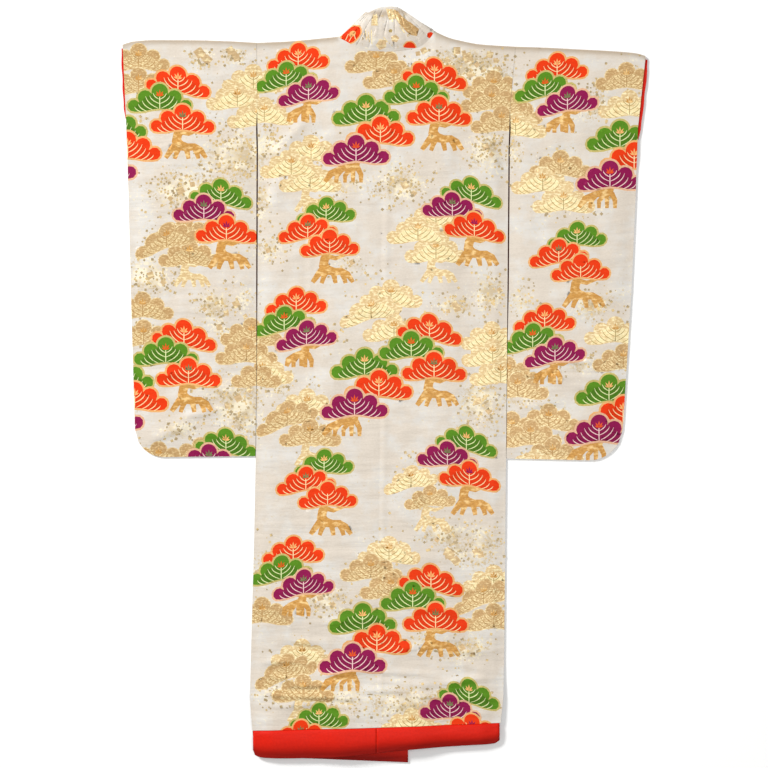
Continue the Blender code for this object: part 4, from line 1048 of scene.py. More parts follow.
# Squares of gold leaf that can be told apart: pixels across and down, side, turn
SQUARES = (
    (424, 50, 6.0, 30), (418, 53, 4.5, 10),
    (199, 52, 9.0, 35), (207, 59, 8.0, 50), (230, 50, 7.5, 30), (236, 57, 7.0, 20),
    (449, 553, 9.0, 60), (456, 561, 8.0, 40), (481, 555, 6.0, 10),
    (447, 60, 6.0, 40), (457, 50, 7.0, 0), (468, 57, 9.0, 20), (470, 74, 6.5, 30),
    (490, 54, 6.5, -12), (496, 60, 5.0, 8), (461, 66, 2.5, 30), (452, 69, 2.5, 10),
    (405, 185, 7.0, 30), (392, 178, 4.5, 10), (414, 193, 5.0, 50), (180, 190, 7.5, 30),
    (192, 184, 5.0, 10), (170, 198, 4.5, 45), (203, 55, 6.0, 20), (233, 52, 6.0, 35),
    (486, 146, 6.0, 20), (492, 154, 4.5, 50), (478, 401, 7.0, 15), (489, 411, 5.5, 40),
    (455, 304, 6.0, 25), (448, 311, 4.0, 5), (238, 398, 7.0, 30), (227, 406, 5.0, 10),
    (249, 390, 5.0, 55), (595, 100, 5.5, 20), (586, 108, 4.5, 45), (601, 300, 6.0, 30),
    (590, 308, 5.0, 5), (447, 531, 6.0, 25), (437, 540, 4.5, 50), (320, 598, 6.0, 15),
    (333, 605, 5.0, 40), (462, 648, 6.0, 30), (473, 655, 4.5, 10), (352, 262, 5.0, 30),
    (150, 275, 6.5, 20), (163, 282, 5.0, 45), (268, 250, 5.0, 20), (500, 290, 5.0, 35),
    (236, 304, 7.0, 25), (219, 327, 6.0, 10), (457, 308, 7.0, 20), (450, 556, 8.0, 60),
    (476, 552, 6.0, 30), (464, 52, 4.0, 15), (477, 64, 5.0, 40), (483, 70, 4.0, 5),
    (499, 68, 4.5, 30), (476, 80, 4.0, 25), (210, 298, 4.5, 15), (204, 309, 4.0, 50),
    (226, 313, 5.0, 5), (245, 316, 4.0, 35), (186, 176, 3.5, 25), (199, 193, 4.0, 5),
)
# Fields of gold dust: pixels across and down, half widths, strength
DUST_FIELDS = (
    (470, 68, 36, 20, 1.0), (487, 148, 18, 18, 0.9), (482, 404, 18, 22, 0.9),
    (455, 305, 16, 10, 0.9), (180, 191, 26, 18, 0.9), (236, 155, 28, 24, 1.0),
    (235, 398, 26, 18, 0.9), (178, 430, 18, 9, 0.8), (203, 57, 13, 9, 0.9),
    (233, 54, 12, 8, 0.9), (402, 185, 24, 15, 0.9), (345, 186, 16, 10, 0.7),
    (268, 250, 16, 12, 0.7), (272, 150, 14, 30, 0.6), (262, 200, 8, 30, 0.7),
    (350, 264, 16, 8, 0.6), (490, 295, 16, 18, 0.8), (275, 385, 18, 12, 0.7),
    (330, 335, 14, 12, 0.5), (335, 420, 14, 14, 0.5), (447, 535, 22, 12, 0.9),
    (480, 545, 20, 22, 0.7), (325, 600, 24, 14, 0.9), (266, 570, 12, 20, 0.6),
    (465, 650, 22, 12, 0.9), (410, 704, 38, 16, 0.8), (345, 700, 20, 14, 0.7),
    (276, 690, 20, 14, 0.6), (420, 640, 16, 8, 0.5), (592, 103, 18, 14, 0.8),
    (514, 150, 8, 20, 0.7), (560, 205, 22, 12, 0.7), (596, 305, 18, 12, 0.9),
    (580, 366, 16, 9, 0.6), (524, 398, 20, 9, 0.8), (590, 205, 14, 9, 0.5),
    (522, 300, 14, 16, 0.5), (152, 278, 22, 14, 0.9), (205, 186, 14, 10, 0.7),
    (140, 110, 12, 14, 0.4), (240, 300, 14, 16, 0.6), (215, 305, 16, 14, 1.0),
    (238, 408, 20, 22, 1.0), (219, 327, 8, 10, 0.8), (457, 552, 14, 10, 0.8),
)
GOLD_HALO = 18.0
GOLD_HALO_STRENGTH = 0.20
DUST_FALLOFF = 0.8


def leaf_squares():
    """The squares of gold leaf as woven shapes."""
    shapes = []
    for across, down, side, turn in SQUARES:
        x, y = from_photo(across, down)
        half = side * PIXEL / math.sqrt(2)
        corners = [math.radians(turn + 45 + 90 * k) for k in range(4)]
        square = [(x + half * math.cos(a), y + half * math.sin(a)) for a in corners]
        shapes.append((np.array(square), "leaf"))
    return shapes


def dust_at(x, y, gold):
    """How thick the gold dust lies, from the fields and round the gold trees."""
    amount = np.zeros(len(x))
    halos = [(*place, GOLD_HALO, GOLD_HALO, GOLD_HALO_STRENGTH) for _, *place in gold]
    for across, down, half_x, half_y, strength in (*DUST_FIELDS, *halos):
        middle_x, middle_y = from_photo(across, down)
        off = ((x - middle_x) / (half_x * PIXEL)) ** 2 + ((y - middle_y) / (half_y * PIXEL)) ** 2
        amount = np.maximum(amount, strength * np.exp(-off * DUST_FALLOFF))
    return amount


def woven(trees, flip_about=None, plain=False):
    """The shapes of a list of trees in metres, turned over for the layer below if asked."""
    shapes = []
    for name, x, y in trees:
        for shape, silk in (PLAIN_TREES if plain else FULL_TREES)[name]:
            points = np.array(shape) * MM + (x, y)
            if flip_about is not None:
                points[:, 1] = flip_about - points[:, 1]
            shapes.append((points, silk))
    return shapes


# %% [markdown]
# ## Cutting a panel
# A woven pattern lies in the cloth, so it isn't stuck on as separate pieces here either. Each panel
# is drawn flat, as on the cutting table: its outline, a fine grid of points and the pine shapes. A
# constrained triangulation cuts them all into one mesh, in which each triangle knows the last shape
# that covers it. Then every point is moved to its place on the bent cloth, and Solidify gives the
# wall, with the red lining on its inner side, darkened to a near-black red as painted shade.

# %% Flecks of gold leaf
FLECK_FACES_UP = 0.6
FLECK_ABOVE = 0.00015
TURN_SEED = 5
# Sockets of a random number, which share their names between kinds of number
LOWEST, HIGHEST, SEED = 2, 3, 8


def fleck_tree():
    """Scatters tiny squares over the ground where the dust attribute is high."""
    tree = bpy.data.node_groups.new("gold flecks", "GeometryNodeTree")
    sockets = tree.interface
    for name, kind in (("Geometry", "Geometry"), ("Density", "Float"), ("Smallest", "Float"),
                       ("Largest", "Float"), ("Lift", "Float"), ("Seed", "Int"),
                       ("Ground", "Int"), ("Material", "Material")):
        sockets.new_socket(name, in_out="INPUT", socket_type="NodeSocket" + kind)
    sockets.new_socket("Geometry", in_out="OUTPUT", socket_type="NodeSocketGeometry")
    given = add_node(tree, "NodeGroupInput").outputs
    dust = add_node(tree, "GeometryNodeInputNamedAttribute", {"data_type": "FLOAT", "Name": DUST})
    normal = add_node(tree, "ShaderNodeSeparateXYZ",
                      {0: add_node(tree, "GeometryNodeInputNormal").outputs[0]})
    upwards = maths(tree, "GREATER_THAN", normal.outputs["Z"], FLECK_FACES_UP)
    silk = add_node(tree, "GeometryNodeInputMaterialIndex").outputs[0]
    apart = maths(tree, "ABSOLUTE", maths(tree, "SUBTRACT", silk, given["Ground"]))
    density = maths(tree, "MULTIPLY", dust.outputs[0], given["Density"])
    for wanted in (upwards, maths(tree, "LESS_THAN", apart, 0.5)):
        density = maths(tree, "MULTIPLY", density, wanted)
    points = add_node(tree, "GeometryNodeDistributePointsOnFaces",
                      {"Mesh": given["Geometry"], "Density": density, "Seed": given["Seed"]})
    square = add_node(tree, "GeometryNodeMeshGrid",
                      {"Size X": 1.0, "Size Y": 1.0, "Vertices X": 2, "Vertices Y": 2})
    size = add_node(tree, "FunctionNodeRandomValue", {"data_type": "FLOAT", SEED: given["Seed"],
                    LOWEST: given["Smallest"], HIGHEST: given["Largest"]})
    laid = add_node(tree, "GeometryNodeInstanceOnPoints",
                    {"Points": points.outputs["Points"], "Instance": square.outputs[0],
                     "Rotation": points.outputs["Rotation"], "Scale": size.outputs[1]})
    angle = add_node(tree, "FunctionNodeRandomValue",
                     {"data_type": "FLOAT", LOWEST: 0.0, HIGHEST: math.pi, SEED: TURN_SEED})
    turn = add_node(tree, "ShaderNodeCombineXYZ", {"Z": angle.outputs[1]})
    turned = add_node(tree, "GeometryNodeRotateInstances",
                      {"Instances": laid.outputs[0], "Rotation": turn.outputs[0]})
    lift = add_node(tree, "ShaderNodeCombineXYZ", {"Z": given["Lift"]})
    lifted = add_node(tree, "GeometryNodeTranslateInstances", {"Local Space": False,
                      "Instances": turned.outputs[0], "Translation": lift.outputs[0]})
    real = add_node(tree, "GeometryNodeRealizeInstances", {"Geometry": lifted.outputs[0]})
    named = add_node(tree, "GeometryNodeSetMaterial",
                     {"Geometry": real.outputs[0], "Material": given["Material"]})
    add_node(tree, "NodeGroupOutput", {"Geometry": named.outputs[0]})
    return tree


FLECKS = fleck_tree()
FLECK_SIZES = {
    "Density": 17000.0, "Smallest": 0.0018, "Largest": 0.0068, "Lift": WALL / 2 + FLECK_ABOVE,
    "Material": FLECK,
}


def scatter_flecks(mesh, node, ground):
    """Runs the fleck tree on a panel's outer face and keeps the result as a plain mesh."""
    given = {**FLECK_SIZES, "Seed": len(node), "Ground": ground}
    host = add_object("host", mesh)
    scatter = host.modifiers.new("flecks", "NODES")
    scatter.node_group = FLECKS
    for socket in FLECKS.interface.items_tree:
        if socket.in_out == "INPUT" and socket.name in given:
            scatter[socket.identifier] = given[socket.name]
    seen = bpy.context.evaluated_depsgraph_get()
    plain = bpy.data.meshes.new_from_object(host.evaluated_get(seen), depsgraph=seen)
    bpy.data.objects.remove(host)
    flecks = add_object("gold_flecks_" + node, plain)
    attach(flecks, "root")
    print(flecks.name, "squares:", len(plain.polygons))


# %% Cutting a panel
DUST_TOP = 0.8400
GRID = 0.0068
GRID_ROW = 0.9
UNDER_GRID = 0.020
FOLD_ROWS = 9
# How far the painted shade reaches from a fold's middle, and how dark it gets
FOLD_SHADE_REACH = 0.018
FOLD_SHADE_DARKEST = 0.75
CDT_TRIANGLES_INSIDE = 0
CDT_CLOSEST = 1e-6


def counter_clockwise(points):
    x, y = np.array(points).T
    area = np.sum(x * np.roll(y, -1) - np.roll(x, -1) * y)
    return points if area > 0 else points[::-1]


def is_inside(outline, points):
    """Which points lie inside an outline, by counting the edges to one side of each."""
    x, y = points.T
    odd = np.zeros(len(points), bool)
    for (x0, y0), (x1, y1) in zip(outline, np.roll(outline, -1, axis=0)):
        if y0 != y1:
            odd ^= ((y0 > y) != (y1 > y)) & (x < (x1 - x0) * (y - y0) / (y1 - y0) + x0)
    return odd


def close_spaced(outline, step):
    """The same closed outline with a point at least every step."""
    line = []
    for start, end in zip(outline, np.roll(outline, -1, axis=0)):
        count = max(1, math.ceil(np.linalg.norm(end - start) / step))
        line += [mix(start, end, k / count) for k in range(count)]
    return np.array(line)


def cut_panel(outline, step, points, rows, shapes, ground):
    """Triangles of a flat panel with its woven shapes: points, triangles, silks."""
    outline = np.array(counter_clockwise(close_spaced(np.array(outline), step)))
    points = points[is_inside(outline, points)]
    flat = [*map(tuple, outline), *map(tuple, points)]
    faces = [list(range(len(outline)))]
    silks = [ground]
    edges = []
    for row in rows:
        first = len(flat)
        flat += [*map(tuple, row)]
        edges += [(k, k + 1) for k in range(first, len(flat) - 1)]
    low, high = outline.min(axis=0), outline.max(axis=0)
    for shape, silk in shapes:
        if (shape.max(axis=0) < low).any() or (shape.min(axis=0) > high).any():
            continue
        faces.append(list(range(len(flat), len(flat) + len(shape))))
        flat += [*map(tuple, counter_clockwise(shape))]
        silks.append(silk)
    found = delaunay_2d_cdt(flat, edges, faces, CDT_TRIANGLES_INSIDE, CDT_CLOSEST, True)
    cut, _, triangles, _, _, covering = found
    kept = [(list(face), silks[max(cover)])
            for face, cover in zip(triangles, covering) if 0 in cover]
    used = sorted({index for face, _ in kept for index in face})
    place = {index: k for k, index in enumerate(used)}
    faces = [[place[index] for index in face] for face, _ in kept]
    return np.array([cut[index] for index in used]), faces, [silk for _, silk in kept]


def flat_area(points, faces):
    a, b, c = (points[[face[k] for face in faces]] for k in range(3))
    ab, ac = b - a, c - a
    return float(0.5 * np.abs(ab[:, 0] * ac[:, 1] - ab[:, 1] * ac[:, 0]).sum())


def store(mesh, name, kind, domain, values):
    mesh.attributes.new(name, kind, domain).data.foreach_set("value", values)


def sharpen_rim(mesh):
    """Keeps the shading level up to a panel's edges, from which the wall turns down."""
    edge_of_corner = np.zeros(len(mesh.loops), np.int32)
    mesh.loops.foreach_get("edge_index", edge_of_corner)
    triangles_at = np.bincount(edge_of_corner, minlength=len(mesh.edges))
    store(mesh, "sharp_edge", "BOOLEAN", "EDGE", triangles_at == 1)


panels = {}


def make_panel(node, outline, step, points, rows, shapes, bend, wall=WALL,
               ground="ground", inner="inside", gold=None, fold=None, size=None):
    """Cuts a panel flat, bends it, and gives it its silks, its cloth map, its wall and any painted
    shade along its fold.
    """
    points, faces, silks = cut_panel(outline, step, points, rows, shapes, ground)
    name = "silk_" + node
    bent = np.stack(bend(points[:, 0], points[:, 1]), axis=1) + TO_MIDDLE
    mesh = bpy.data.meshes.new(name)
    mesh.from_pydata(bent.tolist(), [], faces)
    woven_in = set(silks)
    used = [silk for silk in SILKS if silk in woven_in and silk != inner] + [inner]
    for silk in used:
        mesh.materials.append(SILKS[silk])
    mesh.polygons.foreach_set("material_index", [used.index(silk) for silk in silks])
    corners = points[np.array(faces).ravel()]
    mesh.uv_layers.new(name="cloth").data.foreach_set("uv", corners.astype(np.float32).ravel())
    mesh.shade_smooth()
    if gold is not None:
        on_back = (points[:, 1] < DUST_TOP) | (node == "collar")
        dust = np.where(on_back, dust_at(bent[:, 0], bent[:, 1], gold), 0.0)
        store(mesh, DUST, "FLOAT", "POINT", dust.astype(np.float32))
        scatter_flecks(mesh, node, used.index("ground"))
    sharpen_rim(mesh)
    # Painted shade along the fold, which the ground's colour reads
    if fold is not None:
        fold_shade = FOLD_SHADE_DARKEST * near(np.abs(points[:, 1] - fold(points[:, 0])), FOLD_SHADE_REACH)
        store(mesh, FOLD_SHADE, "FLOAT", "POINT", fold_shade.astype(np.float32))
    piece = add_object(name, mesh)
    solid = piece.modifiers.new("wall", "SOLIDIFY")
    solid.thickness = wall
    solid.offset = 0.0
    solid.material_offset = 0 if inner == "ground" else len(used)
    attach(piece, "root")
    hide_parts(node)
    area = flat_area(points, faces)
    panels[node] = (piece, area, np.ptp(points, axis=0) if size is None else size)
    print(name, "triangles:", len(faces), "flat area:", round(area, 4))


def grid_points(low, high, step):
    """A staggered grid between two corners."""
    xs = np.arange(low[0], high[0] + step, step)
    ys = np.arange(low[1], high[1] + step, step * GRID_ROW)
    x, y = np.meshgrid(xs, ys)
    x = x + (np.arange(len(ys)) % 2)[:, None] * step / 2
    return np.stack([x.ravel(), y.ravel()], axis=1)


def two_grids(outline, fine_up_to, coarse_from):
    """A fine grid on the side that shows, and a coarse one on the side folded under."""
    low, high = np.min(outline, axis=0), np.max(outline, axis=0)
    return np.concatenate([grid_points(low, (high[0], fine_up_to), GRID),
                           grid_points((low[0], coarse_from), high, UNDER_GRID)])


def fold_rows(xs, fold):
    """Rows of points round a fold, so that the cloth bends evenly there."""
    start, radius, _ = fold(xs)
    return [np.stack([xs, start + radius * math.pi * k / (FOLD_ROWS - 1)], axis=1)
            for k in range(FOLD_ROWS)]


def bend_over(fold, v, on_top, top_height, under_height):
    """y and z of a length of cloth that lies flat on top, turns round its fold and under."""
    start, radius, under = fold
    angle = np.clip((v - start) / radius, 0, math.pi)
    under_y = 2 * start + math.pi * radius - v
    y = np.where(on_top, v, np.where(angle < math.pi, start + radius * np.sin(angle), under_y))
    z = np.where(angle < math.pi, under + radius * (1 + np.cos(angle)), under_height(under_y))
    return y, np.where(on_top, top_height, z)


# %% [markdown]
# ## Body panels
# The back and the front of each half of the body are one length of cloth that goes over
# the shoulder. The flat panel's second coordinate runs up the back, round the fold and down
# the front. Each front is hidden below, but the same pattern is woven into it.

# %% Body panels
BACK_GRID_TOP = 0.852
FRONT_GRID_LOW = 0.90
BODY_FOLD_POINTS = 26
NO_FOLD = 9.0


def body_fold(side, x):
    """Start of the shoulder fold at x, its radius, and the height of the front below."""
    x = np.clip(x, *sorted((TOP_X[side], NECK_X[side])))
    under = front_height(side, x, SHOULDER_FOLD_Y)
    radius = (shoulder_top(x) - under) / 2
    return top_edge(x) - WALL / 2 - radius, radius, under


def on_front(side, x, y):
    """The cloth's second coordinate of a point of the front."""
    start, radius, _ = body_fold(side, x)
    return 2 * start + math.pi * radius - y


def past_neck(side, x):
    return side * x < side * NECK_X[side]


def bend_body(side, x, v):
    start, radius, _ = fold = body_fold(side, x)
    on_back = (v <= start) | (past_neck(side, x) & (v < start + math.pi * radius / 2))
    return x, *bend_over(fold, v, on_back, back_height(side, x, v),
                         lambda front_y: front_height(side, x, front_y))


def middle_of_fold(side, x):
    start, radius, _ = body_fold(side, x)
    return np.where(past_neck(side, x), NO_FOLD, start + radius)


def body_outline(side):
    """The flat outline: up the back's side, over the shoulder, down the front, and back."""
    start, radius, _ = body_fold(side, TOP_X[side])
    neck, neck_radius, _ = body_fold(side, NECK_X[side])
    heights = sorted(row[0] for row in BODY_ROWS)[1:]
    low_x = side_x(side, HEM_END_Y)
    low_y, inner_low_y = (hem_line(FRONT_HEM[side], x) for x in (low_x, INNER_X[side]))
    front = [(side_x(side, y) - side * FRONT_SIDE_INSET * (1 - openness(y)), y)
             for y in (*reversed(heights), low_y)]
    front += [(inner_x(side, y), y) for y in (inner_low_y, MIDDLE_KINK_Y, 0.0, POINT_Y,
                                              FRONT_KINK_Y, SHOULDER_ZONE_Y)]
    seam = [(seam_x(y) + side * CENTRE_SEAM / 2, y) for y in (*reversed(heights), HEM_END_Y)]
    seam_top, seam_low = seam[0][0], seam.pop()[0]
    neck_xs = [x for x, _ in NECKLINE
               if side * NECK_X[side] > side * x > side * seam_x(SHOULDER_ZONE_Y)]
    return [(low_x, hem_line(BACK_HEM, low_x)), *[(side_x(side, y), y) for y in heights],
            (TOP_X[side], start), (TOP_X[side], start + math.pi * radius),
            *[(x, on_front(side, x, y)) for x, y in front],
            (NECK_X[side], neck + math.pi * neck_radius), (NECK_X[side], neck),
            *[(x, top_edge(x)) for x in sorted(neck_xs, reverse=side > 0)],
            (seam_top, top_edge(seam_top)), *seam, (seam_low, hem_line(BACK_HEM, seam_low))]


for side, name in ((-1, "body_left"), (1, "body_right")):
    outline = body_outline(side)
    xs = np.linspace(TOP_X[side], NECK_X[side], BODY_FOLD_POINTS)
    turned = float(on_front(side, (TOP_X[side] + NECK_X[side]) / 2, 0.0))
    shapes = leaf_squares() + woven(BACK_TREES) + woven(BACK_TREES, flip_about=turned, plain=True)
    make_panel(name, outline, GRID, two_grids(outline, BACK_GRID_TOP, FRONT_GRID_LOW),
               fold_rows(xs, partial(body_fold, side)), shapes, partial(bend_body, side),
               gold=BACK_GOLD, fold=partial(middle_of_fold, side))

# %% [markdown]
# ## Overlap panels
# Each front is widened by a narrow panel that tapers to a point below the neck. It faces
# the floor, so its flat drawing is turned over, with the right side of the brocade down.

# %% Overlap panels
def overlap_outline(side):
    hem = FRONT_HEM[side]
    beside_collar = COLLAR_END_Y - BESIDE_COLLAR
    inner = INNER_X[side] - side * SEAM
    edge = EDGE_X[side]
    tip = POINT_Y - BELOW_POINT
    line = [(inner, hem_line(hem, inner)), (inner, tip),
            (collar_seam_x(side, tip) + side * SEAM, tip),
            (collar_seam_x(side, beside_collar) + side * SEAM, beside_collar),
            (edge, COLLAR_END_Y - BELOW_COLLAR), (edge, hem_line(hem, edge))]
    return [(-x, y) for x, y in line]


def bend_overlap(side, u, y):
    x = -u
    level, roll_mid = FLOOR_MID, FRONT_ROLL / 2
    if side > 0:
        level, roll_mid = OVERLAP_RIGHT_MID, front_roll_mid(1, x)
    return x, y, mix(level, roll_mid, front_lift(side, x, y))


turned_trees = [(name, -x, y) for name, x, y in BACK_TREES]
for side, name in ((-1, "overlap_left"), (1, "overlap_right")):
    outline = overlap_outline(side)
    grid = grid_points(np.min(outline, axis=0), np.max(outline, axis=0), UNDER_GRID)
    make_panel(name, outline, UNDER_GRID, grid, [], woven(turned_trees, plain=True),
               partial(bend_overlap, side))

# %% [markdown]
# ## Sleeves
# A bridal sleeve hangs down about a metre. It is one length folded over at the shoulder
# line, closed along the bottom with a rounded outer corner, and open at the cuff.

# %% Sleeves
SHOULDER_END_Y = 0.8450
SLEEVE_GRID_TOP = 0.845
SLEEVE_UNDER_GRID_LOW = 0.89
SLEEVE_FOLD_POINTS = 30
SLEEVE_FOLD_RADIUS = 0.003
# Heights at which the inner edge bends, and how the bottom's points crowd into its corner
SLEEVE_KINKS = (-0.15, 0.08, 0.24, 0.59, 0.64, 0.685, 0.79)
BOTTOM_SHARES = np.linspace(0, 1, 25) ** 0.6


def sleeve_inner(sleeve, y, rows=GAP_ROWS):
    """The edge beside the body, straight from the shoulder zone to the end of the fold."""
    side = sleeve["side"]
    low_y = np.minimum(y, SHOULDER_ZONE_Y)
    below = side_x(side, low_y) + side * read_rows(rows, low_y)
    rise = np.clip((y - SHOULDER_ZONE_Y) / (SHOULDER_END_Y - SHOULDER_ZONE_Y), 0, 1)
    return mix(below, sleeve["top_ends"][0] + side * SEAM, rise)


def sleeve_outer(sleeve, y):
    below = read_rows(sleeve["outer"], np.minimum(y, SHOULDER_ZONE_Y))
    rise = np.clip((y - SHOULDER_ZONE_Y) / (sleeve["outer"][-1][0] - SHOULDER_ZONE_Y), 0, 1)
    return mix(below, sleeve["top_ends"][1], rise)


def sleeve_fold(sleeve, x):
    radius = (SHOULDER_TOP_MID - FLOOR_MID) / 2 + np.zeros_like(x)
    return gentle_curve(sleeve["top"], x) - WALL / 2 - radius, radius, FLOOR_MID


def sleeve_bottom(sleeve, share):
    corner, bottom = sleeve["corner"], sleeve["bottom"]
    width = abs(float(sleeve_outer(sleeve, bottom) - sleeve_inner(sleeve, bottom)))
    into = np.maximum(corner - (1 - share) * width, 0.0)
    return bottom + sleeve["bottom_slope"] * share + corner - np.sqrt(corner**2 - into**2)


def sleeve_height(sleeve, x, y):
    inner, outer = sleeve_inner(sleeve, y), sleeve_outer(sleeve, y)
    share = np.clip((x - inner) / (outer - inner), 0, 1)
    below_top = sleeve_fold(sleeve, x)[0] - y
    outside = away_from(np.abs(outer - x))
    inside = away_from(np.abs(x - side_x(sleeve["side"], y)))
    bottom = away_from(y - sleeve_bottom(sleeve, share))
    in_cuff = 1 - ramp(below_top - sleeve["cuff"], CUFF_FADE_START, CUFF_FADE)
    puff = PUFF * bottom * np.maximum(outside, in_cuff)
    puff = puff * np.maximum(mix(SIDE_PUFF, 1.0, inside), openness(y))
    height = TOUCH_MID + puff + outside * inside * bottom * creases(x, y)
    return mix(height, SHOULDER_TOP_MID, near(below_top, SHOULDER_BLEND))


def bend_sleeve(sleeve, x, v):
    start, _, _ = fold = sleeve_fold(sleeve, x)
    top = sleeve_height(sleeve, x, np.minimum(v, start))
    return x, *bend_over(fold, v, v <= start, top, lambda under_y: FLOOR_MID)


def sleeve_outline(sleeve):
    inner_top = sleeve["top_ends"][0] + sleeve["side"] * SEAM
    outer_top = sleeve["top_ends"][1]
    start, radius, _ = sleeve_fold(sleeve, inner_top)
    out_start = sleeve_fold(sleeve, outer_top)[0]
    half_round = math.pi * radius
    outer_kinks = [row[0] for row in sleeve["outer"][1:-1]] + [SHOULDER_ZONE_Y]
    bottom = []
    for share in BOTTOM_SHARES:
        y = sleeve_bottom(sleeve, share)
        bottom.append((mix(sleeve_inner(sleeve, y), sleeve_outer(sleeve, y), share), y))
    inner_edge = [(sleeve_inner(sleeve, y), y) for y in SLEEVE_KINKS]
    outer_edge = [(sleeve_outer(sleeve, y), y) for y in outer_kinks]
    under = [(sleeve_inner(sleeve, y, UNDER_GAP_ROWS), y) for y in reversed(SLEEVE_KINKS)]
    under += [*bottom, *outer_edge]
    return [*reversed(bottom), *inner_edge, (inner_top, start), (inner_top, start + half_round),
            *[(x, 2 * sleeve_fold(sleeve, x)[0] + half_round - y) for x, y in under],
            (outer_top, out_start + half_round), (outer_top, out_start), *reversed(outer_edge)]


for side, name in ((-1, "sleeve_left"), (1, "sleeve_right")):
    sleeve = SLEEVES[side]
    outline = sleeve_outline(sleeve)
    xs = (np.linspace(*sleeve["top_ends"], SLEEVE_FOLD_POINTS)
          + side * np.linspace(SEAM, 0, SLEEVE_FOLD_POINTS))
    turned = float(2 * sleeve_fold(sleeve, sum(sleeve["top_ends"]) / 2)[0]
                   + math.pi * SLEEVE_FOLD_RADIUS)
    trees = SLEEVE_TREES[side]
    shapes = leaf_squares() + woven(trees) + woven(trees, flip_about=turned, plain=True)
    make_panel(name, outline, GRID, two_grids(outline, SLEEVE_GRID_TOP, SLEEVE_UNDER_GRID_LOW),
               fold_rows(xs, partial(sleeve_fold, sleeve)), shapes, partial(bend_sleeve, sleeve),
               gold=SLEEVE_GOLD[side],
               fold=lambda x, sleeve=sleeve: sleeve_fold(sleeve, x)[0] + SHOULDER_TOP_MID / 2)

# %% [markdown]
# ## Collar
# The collar is one long band, folded double, sewn round the neck and down both front
# edges. At the back it stands up in a hump behind the neckline, and it is brocade on both
# sides. It is drawn flat by its length and width, then laid along its ribs.

# %% Collar
# Part, seam place, free edge (x, y, z), how far the middle stands off (x, y, z)
COLLAR_RIBS = (
    ("left front", 0.020, 0.0588, 0.0200, 0.0012, 0, 0, 0),
    ("left front", 0.210, 0.0255, 0.2180, 0.0012, 0, 0, 0),
    ("left front", 0.400, -0.0080, 0.4080, 0.0012, 0, 0, 0),
    ("left front", 0.590, -0.0415, 0.5980, 0.0012, 0, 0, 0),
    ("left front", 0.690, -0.0300, 0.7100, 0.0012, 0, 0, 0),
    ("left front", 0.790, -0.0150, 0.8350, 0.0012, 0, 0, 0),
    ("left fold", 180, -0.0390, 0.9170, 0.0012, 0.002, -0.003, 0),
    ("left fold", 135, -0.0445, 0.9265, 0.0026, 0.000, -0.004, 0.0006),
    ("left fold", 90, -0.0472, 0.9305, 0.0052, -0.001, -0.004, 0.0016),
    ("left fold", 45, -0.0455, 0.9300, 0.0076, 0.000, -0.003, 0.0032),
    ("left fold", 0, -0.0400, 0.9275, 0.0092, 0.002, -0.003, 0.0050),
    ("back neck", -0.095, -0.0315, 0.9320, 0.0098, 0, 0, 0.0075),
    ("back neck", -0.072, -0.0171, 0.9392, 0.0098, 0, 0, 0.0096),
    ("back neck", -0.042, -0.0016, 0.9426, 0.0094, 0, 0, 0.0108),
    ("back neck", -0.009, 0.0140, 0.9436, 0.0092, 0, 0, 0.0112),
    ("back neck", 0.025, 0.0270, 0.9428, 0.0092, 0, 0, 0.0112),
    ("back neck", 0.060, 0.0365, 0.9400, 0.0092, 0, 0, 0.0106),
    ("back neck", 0.090, 0.0425, 0.9362, 0.0092, 0, 0, 0.0090),
    ("back neck", 0.112, 0.0465, 0.9335, 0.0092, 0, 0, 0.0068),
    ("right fold", 0, 0.0490, 0.9320, 0.0088, 0, 0, 0.0046),
    ("right fold", 45, 0.0498, 0.9312, 0.0080, 0, 0, 0.0028),
    ("right fold", 90, 0.0500, 0.9300, 0.0066, 0, 0, 0.0012),
    ("right fold", 135, 0.0490, 0.9280, 0.0050, 0, 0, 0.0003),
    ("right fold", 180, 0.0470, 0.9240, 0.0041, 0, 0, 0),
    ("right front", 0.790, 0.0060, 0.8450, 0.0041, 0, 0, 0),
    ("right front", 0.690, -0.0080, 0.7150, 0.0041, 0, 0, 0),
    ("right front", 0.590, 0.0005, 0.6020, 0.0041, 0, 0, 0),
    ("right front", 0.400, -0.0309, 0.4080, 0.0041, 0, 0, 0),
    ("right front", 0.210, -0.0625, 0.2180, 0.0041, 0, 0, 0),
    ("right front", 0.020, -0.0940, 0.0200, 0.0041, 0, 0, 0),
)

COLLAR_SLOPE_STEP = 0.002
# Where the painted shade runs across the collar
COLLAR_SHADE_AT = 0.095
# Ribs, counted from 0: where the band stands up, what the view shows, and its finer mesh
STANDING_RIBS = (10, 19)
SEEN_RIBS = (7, 22)
FINE_RIBS = (6, 23)
STANDING_BLEND = 1.5
SEEN_GRID = (420, 90)
HIGHER_WINS = 0.05
# Keeps the far end of the band just inside the last pair of ribs
LAST_RIB = 1.0001
COLLAR_EDGE_STEP = 0.010
# Width that a grid covers, and its spacing
COLLAR_GRID = (0.12, 0.012)
COLLAR_FINE_GRID = (0.14, 0.005)


